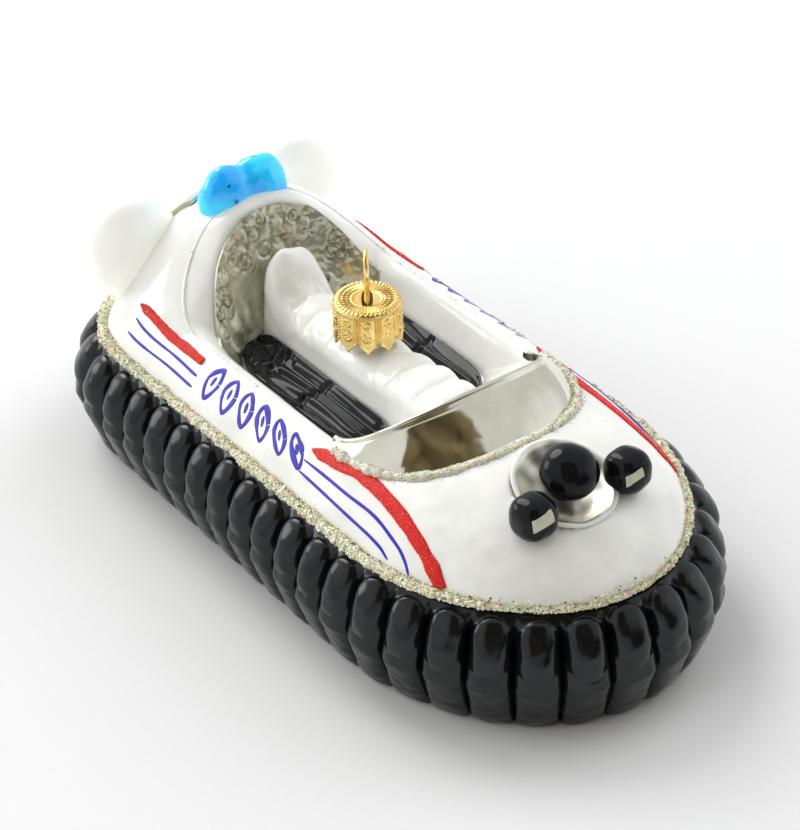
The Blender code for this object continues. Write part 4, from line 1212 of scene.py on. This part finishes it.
def screen_surface():
    """The screen over place round the front and place over its section.

    Outside it bulges from foot to rim, a mix of a straight line and a quarter circle; then the rim turns
    over in half a circle, and behind it the glass falls in a hollow line to the cockpit's lip.
    """
    foot_x, foot_y = front_arc(*SCREEN_FOOT_ARC, SCREEN_COLUMNS)
    foot = points_at(foot_x, foot_y, running_mean(on_deck(foot_x, foot_y), 5) - 0.6)
    rim_x, rim_y = front_arc(*SCREEN_RIM_ARC, SCREEN_COLUMNS)
    ahead = np.clip((SCREEN_RIM_Y + SCREEN_RIM_LENGTH - rim_y) / SCREEN_RIM_LENGTH, 0, 1)
    rim = points_at(rim_x, rim_y, SCREEN_RIM_Z + SCREEN_RIM_RISE * ahead ** 1.4)
    share = np.linspace(0, 1, 90)[:, None]
    inward = (1 - SCREEN_BEND) * share + SCREEN_BEND * (1 - np.cos(share * math.pi / 2))
    upward = (1 - SCREEN_BEND) * share + SCREEN_BEND * np.sin(share * math.pi / 2)
    outer = foot + (rim - foot) * inward[..., None]
    outer[..., 2] = foot[:, 2] + (rim[:, 2] - foot[:, 2]) * upward
    outer += 0.05 * unevenness(outer, 8.0, 110)[..., None] * (0, 0, 1)
    outward = unit(points_at(foot_x, foot_y - SCREEN_MIDDLE_Y, SCREEN_SLANT))
    roll = 0.2 * np.clip((share - 0.94) / 0.06, 0, 1) - 0.08 * np.exp(-((share - 0.92) / 0.02) ** 2)
    outer += roll[..., None] * outward
    inside = -unit(points_at(foot_x, foot_y - SCREEN_MIDDLE_Y, 0.0))
    turn = np.linspace(0, math.pi, 12)[1:, None, None]
    lip = outer[-1] + inside * 0.5 * (1 - np.cos(turn)) + np.sin(turn) * (0, 0, 0.45)
    seat_x, seat_y = front_arc(*SCREEN_SEAT_ARC, SCREEN_COLUMNS)
    seat = points_at(seat_x, seat_y, running_mean(on_deck(seat_x, seat_y), 5) - 0.4)
    down = np.linspace(0.1, 1, 12)[:, None, None]
    wall = lip[-1] + (seat - lip[-1]) * down
    wall[..., 2] -= 0.5 * np.sin(down[..., 0] * math.pi)
    return np.concatenate([outer, lip, wall])


bright_silver = silvered("bright_silver", (0.80, 0.79, 0.70), (0.58, 0.56, 0.44), 90.0, 0.6, 0.12)
screen = skin("windscreen_glass", screen_surface().transpose(1, 0, 2), sharp=70)
dress(screen, bright_silver, "silvered_glass", "windscreen")


# The bow dish, its ball and the lamps
# A shallow silvered dish is sunk in the bow, with a glossy black ball on a short stem. Two rounded black
# lamps sit beside it, each with a small cream patch on the side toward the camera: a painted reflection.
LAPPED_RADIUS = 8.9
BALL_RADIUS = 5.4
BALL_HALF_HEIGHT = 4.4
BALL_LIFT = 3.5
BALL_STEM = ((2.5, -5.4), (2.5, -4.6), (2.55, -4.1))
LAMP_CENTRE = (10.7, -54.6, 36.0)
LAMP_HALF = 3.95
LAMP_POWER = 0.75


def about_dish(profile, origin, sides):
    """A turned shape about the dish's axis, from (radius, height) pairs measured at an origin."""
    angle = circle(sides)
    radius, height = np.asarray(profile, float).T[..., None]
    x = radius * np.cos(angle)
    across = radius * np.sin(angle)
    y = across * math.cos(DISH_TILT) - height * math.sin(DISH_TILT)
    z = across * math.sin(DISH_TILT) + height * math.cos(DISH_TILT)
    return np.asarray(origin) + points_at(x, y, z)


# radius and height of points down the inside of the dish and up its outside
dish_inner = [(0.6, -3.0), (2.0, -2.95), (4.0, -2.55), (6.0, -1.75), (7.6, -0.6), (8.6, 0.2), (9.25, 0.42),
              (9.75, 0.3)]
dish_outer = [(9.8, 0.1), (9.2, -0.5), (7.6, -1.6), (4.0, -3.3), (0.6, -3.9)]
dish_profile = np.concatenate([evenly(dish_inner, 60), evenly(dish_outer, 18)])
dish_grid = about_dish(dish_profile, DISH_CENTRE, 200)
dish_grid[:60] += (0.10 * unevenness(dish_grid[:60], 4.5, 120))[..., None] * dish_rise
dish_silver = silvered("dish_silver", (0.88, 0.87, 0.78), (0.66, 0.64, 0.53), 140.0, 0.5, 0.12)
dish_shader, bare, polish, add = reopened(dish_silver)
lapped = add("ShaderNodeAttribute", {"attribute_name": "lapped"}).outputs["Fac"]
feed(dish_shader, Base_Color=blend_colours(add, lapped, bare, (0.86, 0.87, 0.84)),
     Metallic=maths(add, "SUBTRACT", 1.0, lapped), Roughness=maths(add, "ADD", polish, 0.27))
dish = skin("dish_bowl", dish_grid, sharp=80)
dish_out = dish_profile[:, :1] - 0.25 * unevenness(dish_grid, 5.0, 123)
store_per_point(dish, "lapped", np.clip((dish_out - LAPPED_RADIUS) / 0.5, 0, 1))
dress(dish, dish_silver, "silvered_glass", "bow_dish")

ball_angle = np.radians(np.linspace(28, 178, 70))
ball_profile = np.stack([BALL_RADIUS * np.sin(ball_angle), -BALL_HALF_HEIGHT * np.cos(ball_angle)], axis=1)
ball_profile = np.concatenate([BALL_STEM, ball_profile])
ball_centre = DISH_CENTRE + dish_rise * BALL_LIFT
lamp_enamel = enamelled("lamp_enamel", (0.004, 0.0045, 0.006), (0.008, 0.009, 0.012), 0.04, 0.06, 180.0, 0.05,
                        Specular_IOR_Level=0.2)
ball_grid = about_dish(ball_profile, ball_centre, 120)
ball_grid[3:] += 0.05 * unevenness(ball_grid[3:], 6.0, 121)[..., None]
dress(skin("bow_ball_glass", ball_grid, sharp=80), lamp_enamel, "black_gloss", "bow_ball")


def rounded_block(centre, half, power, longitude, latitude):
    """A superellipsoid: sines and cosines of longitude and latitude, all to one power."""
    wide = bent(np.cos(latitude), power)
    x, y = bent(np.cos(longitude), power) * wide, bent(np.sin(longitude), power) * wide
    return np.asarray(centre) + half * points_at(x, y, bent(np.sin(latitude), power))


# Painted reflection: a cream patch on each lamp, on the side toward the camera, stands for a bright light
# mirrored in the black glass.
lens_cream = enamelled("lens_cream", (0.62, 0.61, 0.48), (0.50, 0.50, 0.40), 0.25, 0.15, 700.0, 0.02,
                       Coat_Weight=0.3)
REFLECTION_CORNERS = {
    # longitude and latitude of the lower left, lower right, upper left and upper right corner
    "starboard": ((-128.0, -2.0), (-75.0, 5.0), (-133.0, 24.0), (-76.0, 42.0)),
    "port": ((-133.0, -4.0), (-88.0, 7.0), (-137.0, 17.0), (-89.0, 33.0)),
}
for side, side_name in SIDES:
    centre = np.array(LAMP_CENTRE) * (side, 1, 1)
    longitude = circle(120)
    latitude = np.linspace(-1.5, 1.5, 64)[:, None]
    block = rounded_block(centre, LAMP_HALF, LAMP_POWER, longitude, latitude)
    block += 0.05 * unevenness(block, 3.5, 122)[..., None]
    dress(skin(f"bow_lamp_glass_{side_name}", block, sharp=80), lamp_enamel, "black_gloss",
          f"bow_lamp_{side_name}")
    corners = np.radians(REFLECTION_CORNERS[side_name])
    reflection_across, reflection_up = np.linspace(0, 1, 24)[:, None], np.linspace(0, 1, 14)[:, None, None]
    reflection_places = ((1 - reflection_up) * (corners[0] + (corners[1] - corners[0]) * reflection_across)
                   + reflection_up * (corners[2] + (corners[3] - corners[2]) * reflection_across))
    reflection_longitude, reflection_latitude = reflection_places[..., 0], reflection_places[..., 1]
    front = rounded_block(centre, LAMP_HALF + 0.13, LAMP_POWER, reflection_longitude, reflection_latitude)
    rear = rounded_block(centre, LAMP_HALF - 0.2, LAMP_POWER, reflection_longitude, reflection_latitude)
    reflection_patch = np.concatenate([front, rear[:, ::-1]], axis=1)
    dress(skin(f"lamp_painted_reflection_{side_name}", reflection_patch, sharp=50), lens_cream, "lens_cream")


# The beacon
# A bar of glass in two lobes across the top of the hood, painted with a clear bright blue that pools and
# thins, with pale streaks and a few pinholes.
BEACON_STATIONS = (
    # x, half-depth, top height
    (-9.7, 0.9, 50.0),
    (-9.2, 2.1, 51.8),
    (-8.2, 2.9, 53.6),
    (-6.4, 3.7, 55.3),
    (-4.6, 4.2, 56.0),
    (-2.4, 4.2, 55.7),
    (-0.4, 3.9, 55.1),
    (1.6, 4.1, 55.7),
    (4.8, 4.3, 55.9),
    (7.0, 3.7, 55.2),
    (8.6, 2.9, 53.4),
    (9.3, 2.0, 51.6),
    (9.7, 0.9, 50.0),
)
BEACON_Y = 49.6
BEACON_CORE_Z = 48.6


beacon_rows = evenly(BEACON_STATIONS, 110)
beacon_x, beacon_depth, beacon_top = np.split(beacon_rows, 3, axis=1)
around_bar = circle(72)
beacon_grid = points_at(beacon_x, BEACON_Y + beacon_depth * np.cos(around_bar),
                         BEACON_CORE_Z + (beacon_top - BEACON_CORE_Z) * np.sin(around_bar))
beacon_swell = 0.12 * unevenness(beacon_grid, 5.0, 130) + 0.04 * unevenness(beacon_grid, 2.0, 131)
beacon_grid[..., 1:] += beacon_swell[..., None]
# Painted glow: the blue gives off a faint light of its own colour by emission, though the beacon is no lamp.
glowing_blue_glass, blue_shader, add = paint("beacon_blue", (0.02, 0.48, 0.96), 0.1, Coat_Weight=0.6,
                                     Coat_Roughness=0.04, Emission_Strength=0.34)
pools = cloudy(add, 160.0, 1.5)
pooled = blend_colours(add, spread(add, pools, 0.36, 0.62), (0.008, 0.36, 0.90), (0.02, 0.60, 0.98))
pinholes = maths(add, "MULTIPLY", maths(add, "LESS_THAN", grainy(add, 330.0), 0.17), 0.85)
blue_tone = blend_colours(add, pinholes, pooled, (0.01, 0.07, 0.16))
feed(blue_shader, Base_Color=blue_tone, Emission_Color=blue_tone, Normal=bumped(add, pools, 0.3))
dress(skin("beacon_bar", beacon_grid, sharp=80), glowing_blue_glass, "beacon_blue", "beacon")


# The fan housings and the stern
# Two flat globes of milk-white glass stand for the fans, each on a short stem, and between them the stern
# has a bare silvered panel.
FAN_PLACE = (20.0, 61.0)
FAN_STATIONS = (
    # height, half-width, half-depth
    (25.0, 3.9, 3.4),
    (28.0, 4.2, 3.6),
    (31.0, 6.6, 4.2),
    (35.0, 9.2, 5.0),
    (40.0, 10.2, 5.4),
    (45.0, 9.0, 5.0),
    (48.6, 6.2, 3.9),
    (50.2, 3.4, 2.5),
    (50.6, 0.6, 0.5),
)
# Painted glow: the milk glass gives off a faint light by emission, though the globes are no lamps.
glowing_milk = enamelled("milk_glass", (0.93, 0.93, 0.90), (0.84, 0.85, 0.78), 0.2, 0.12, 55.0, 0.03, Coat_Weight=0.4,
                 Coat_Roughness=0.08, Emission_Strength=0.28, Emission_Color=(0.97, 0.98, 0.90))
fan_rows = evenly(FAN_STATIONS, 90)
fan_height, fan_half, fan_depth = np.split(fan_rows, 3, axis=1)
around_fan = circle(96)
for side, side_name in SIDES:
    globe = points_at(side * FAN_PLACE[0] + fan_half * np.cos(around_fan),
                       FAN_PLACE[1] + fan_depth * np.sin(around_fan), fan_height)
    globe[..., :2] += (0.10 * unevenness(globe, 10.0, 140))[..., None]
    dress(skin(f"fan_globe_glass_{side_name}", globe, sharp=80), glowing_milk, "milk_glass",
          f"fan_globe_{side_name}")

PANEL_AROUND = (0.47, 0.53)
PANEL_UP = (0.1, 0.62)
PANEL_LIFT = 0.85
PANEL_THICKNESS = 0.6
panel_grid = deck_surface(np.linspace(*PANEL_AROUND, 60), np.linspace(*PANEL_UP, 60)[:, None])
panel_normals = grid_normals(panel_grid)
panel_normals *= np.sign(panel_normals[..., 1].mean())
panel_grid = panel_grid + panel_normals * (PANEL_LIFT + 0.06 * unevenness(panel_grid, 5.0, 141)[..., None])
stern_mirror = slab("stern_mirror", panel_grid, panel_normals, PANEL_THICKNESS)
dress(stern_mirror, olive_silver, "silvered_glass", "stern_panel")


# The neck, the cap and the wire
# The ornament was blown through a clear glass neck. A gilt cap of pressed brass sits over it: a reeded crown
# with a slot, a wall folded into panels with beaded seams and scrolls, and a hem cut into points. The wire
# springs open under the crown and stands up through the slot in a loop.
NECK_PROFILE = (
    # radius, height
    (3.7, 30.0), (4.6, 30.0), (4.6, 36.0), (4.5, 40.0), (4.5, 43.5), (4.2, 44.0), (3.9, 43.9), (3.7, 43.4),
)
CAP_RADIUS = 6.55
CAP_TOP_Z = 45.0
CAP_HEM_Z = 38.6
CAP_POINTS = 10
CAP_POINT_DROP = 2.4
CAP_COLUMNS = 720
CAP_RINGS = (
    # height of a pressed ring's middle, its radius and its relief
    (42.7, 0.62, 0.22),
    (41.1, 0.42, 0.16),
    (39.7, 0.66, 0.22),
)
CAP_BEAD_PITCH = 0.62
CROWN_RIM = CAP_RADIUS - 0.35
CROWN_INNER_RADIUS = 5.85
HEM_INNER_RADIUS = 6.1
SLOT_HALF_WIDTH, SLOT_HALF_LENGTH = 1.1, 2.9
CAP_TURN = math.radians(-36.0)


def about_neck(angle, radius, height):
    """Points at angles, radii and heights about the neck's axis."""
    return points_at(radius * np.cos(angle), NECK_Y + radius * np.sin(angle), height)


clear, clear_shader, add = paint("clear_neck_glass", (0.93, 0.95, 0.93), 0.05,
                                 Transmission_Weight=0.3, IOR=1.5)
seeds = cloudy(add, 300.0, 2.0)
feed(clear_shader, Base_Color=blend_colours(add, seeds, (0.88, 0.91, 0.88), (0.96, 0.97, 0.95)),
     Normal=bumped(add, seeds, 0.08))
neck_radius, neck_height = np.array(NECK_PROFILE).T[..., None]
neck_grid = about_neck(circle(96), neck_radius, neck_height)
dress(skin("neck_tube", neck_grid, closed=True, sharp=60), clear, "clear_glass", "neck")


def ridge(place, middle, width):
    """A ridge one high over a place, that falls off to both sides as exp(-x2)."""
    return np.exp(-((place - middle) / width) ** 2)


def ripples(angle, depth):
    """A cosine wave that goes from one down to one less its depth."""
    return 1 - depth / 2 + depth / 2 * np.cos(angle)


def cap_wall(angle, panel, hem):
    """The cap's wall over place up it and angle, from the height of its hem to the crown.

    Its relief: a groove at each fold, two rows of beads beside it, and a ring over a scroll in each panel.
    """
    share = np.linspace(0, 1, 74)[:, None]
    height = hem + (CAP_TOP_Z - 0.5 - hem) * share
    panel_width = 2 * math.pi * CAP_RADIUS / CAP_POINTS
    across = (panel - 0.5) * panel_width
    from_fold = panel_width / 2 - np.abs(across)
    relief = -0.4 * ridge(from_fold, 0.0, 0.15) * np.clip((1 - share) * 6, 0, 1)
    relief = relief + 0.26 * ridge(from_fold, 0.52, 0.2) * ripples(height * 2 * math.pi / CAP_BEAD_PITCH, 1.0)
    for centre, ring, depth in CAP_RINGS:
        away = np.hypot(across, height - centre)
        relief = relief + depth * ridge(away, ring, 0.17) + 0.15 * ridge(away, 0.0, 0.2)
    relief = relief + 0.22 * ridge(height - hem, 0.35, 0.2) * ripples(angle * 170, 0.6)
    relief = relief + 0.24 * ridge(height, CAP_TOP_Z - 0.9, 0.22) * ripples(angle * 90, 0.8)
    return about_neck(angle, CAP_RADIUS - 0.12 + relief + 0.12 * (1 - share) ** 2, height)


def cap_crown(angle):
    """The crown over place from its rim to the slot and angle, and the slot's edge.

    Its relief: fine radial reeds between two raised rims, and small pearls along the outer edge.
    """
    share = np.linspace(0, 1, 46)[1:-1, None]
    own = angle - CAP_TURN
    slot_x, slot_y = SLOT_HALF_WIDTH * bent(np.cos(own), 0.6), SLOT_HALF_LENGTH * bent(np.sin(own), 0.7)
    slot_x, slot_y = (slot_x * math.cos(CAP_TURN) - slot_y * math.sin(CAP_TURN),
                      slot_x * math.sin(CAP_TURN) + slot_y * math.cos(CAP_TURN))
    rim_x, rim_y = CROWN_RIM * np.cos(angle), CROWN_RIM * np.sin(angle)
    x, y = rim_x + (slot_x - rim_x) * share, rim_y + (slot_y - rim_y) * share
    out = np.hypot(x, y)
    reeds = ripples(angle * 44, 1.0) * ripples(out * 7.0, 0.4) * np.exp(-((out - 4.4) / 1.3) ** 4)
    pearls = ripples(angle * 40, 1.0) * ridge(out, 5.95, 0.22)
    rims = ridge(out, 3.0, 0.14) + ridge(out, 5.55, 0.14)
    z = CAP_TOP_Z - 0.22 + 0.26 * reeds + 0.22 * pearls + 0.2 * rims - 0.12 * np.clip(3.6 - out, 0, 1)
    return points_at(x, NECK_Y + y, z), points_at(slot_x, NECK_Y + slot_y, CAP_TOP_Z - 0.35)


def cap_surface():
    """The cap over place along its section and angle: up the wall, over the crown and down inside."""
    angle = circle(CAP_COLUMNS) + math.pi / CAP_COLUMNS
    panel = (angle * CAP_POINTS / (2 * math.pi)) % 1.0
    hem = CAP_HEM_Z - CAP_POINT_DROP * (1 - np.abs(2 * panel - 1)) ** 0.9
    crown, slot = cap_crown(angle)
    throat = slot - (0, 0, 0.35)
    inner = about_neck(angle, CROWN_INNER_RADIUS, CAP_TOP_Z - 0.75)
    inner_hem = about_neck(angle, HEM_INNER_RADIUS, hem)
    return np.concatenate([cap_wall(angle, panel, hem), crown, slot[None], throat[None], inner[None],
                           inner_hem[None]])


gilt, gilt_shader, add = paint("gilt_brass", (0.86, 0.60, 0.22), 0.22, 1.0)
tarnish = cloudy(add, 260.0, 4.0)
gilt_tone = blend_colours(add, spread(add, tarnish, 0.4, 0.7), (1.0, 0.76, 0.30), (0.84, 0.55, 0.17))
feed(gilt_shader, Base_Color=gilt_tone, Roughness=maths(add, "MULTIPLY_ADD", tarnish, 0.22, 0.18),
     Normal=bumped(add, cloudy(add, 1400.0, 2.0), 0.05))
dress(skin("cap_pressing", cap_surface(), closed=True, sharp=80), gilt, "gilt_brass", "crown_cap",
      body="cap")

WIRE_RADIUS = 0.5
LOOP_RADIUS = 2.6
LOOP_TOP_Z = 54.2
LOOP_LEAN = 0.14
LOOP_ENDS = (-50, 230)
LEG_PLACES = ((2.6, 33.5), (2.1, 39.0), (1.4, CAP_TOP_Z - 1.0), (1.1, CAP_TOP_Z + 1.5))
loop_angle = np.radians(np.linspace(*LOOP_ENDS, 17))
leg_y, leg_z = np.array(LEG_PLACES).T
wire_y = np.concatenate([leg_y, LOOP_RADIUS * np.cos(loop_angle), -leg_y[::-1]])
wire_z = np.concatenate([leg_z, LOOP_TOP_Z - LOOP_RADIUS + LOOP_RADIUS * np.sin(loop_angle), leg_z[::-1]])
wire_y = wire_y + LOOP_LEAN * np.clip(wire_z - CAP_TOP_Z, 0, None)
wire_knots = points_at(-wire_y * math.sin(CAP_TURN), NECK_Y + wire_y * math.cos(CAP_TURN), wire_z)
wire_route = evenly(wire_knots, 220)
wire_grid = bead_grid(wire_route, WIRE_RADIUS, 20, (math.cos(CAP_TURN), math.sin(CAP_TURN), 0.0))
dress(skin("hanger_wire", wire_grid, sharp=60), gilt, "gilt_brass", "wire_hanger", body="hanger")
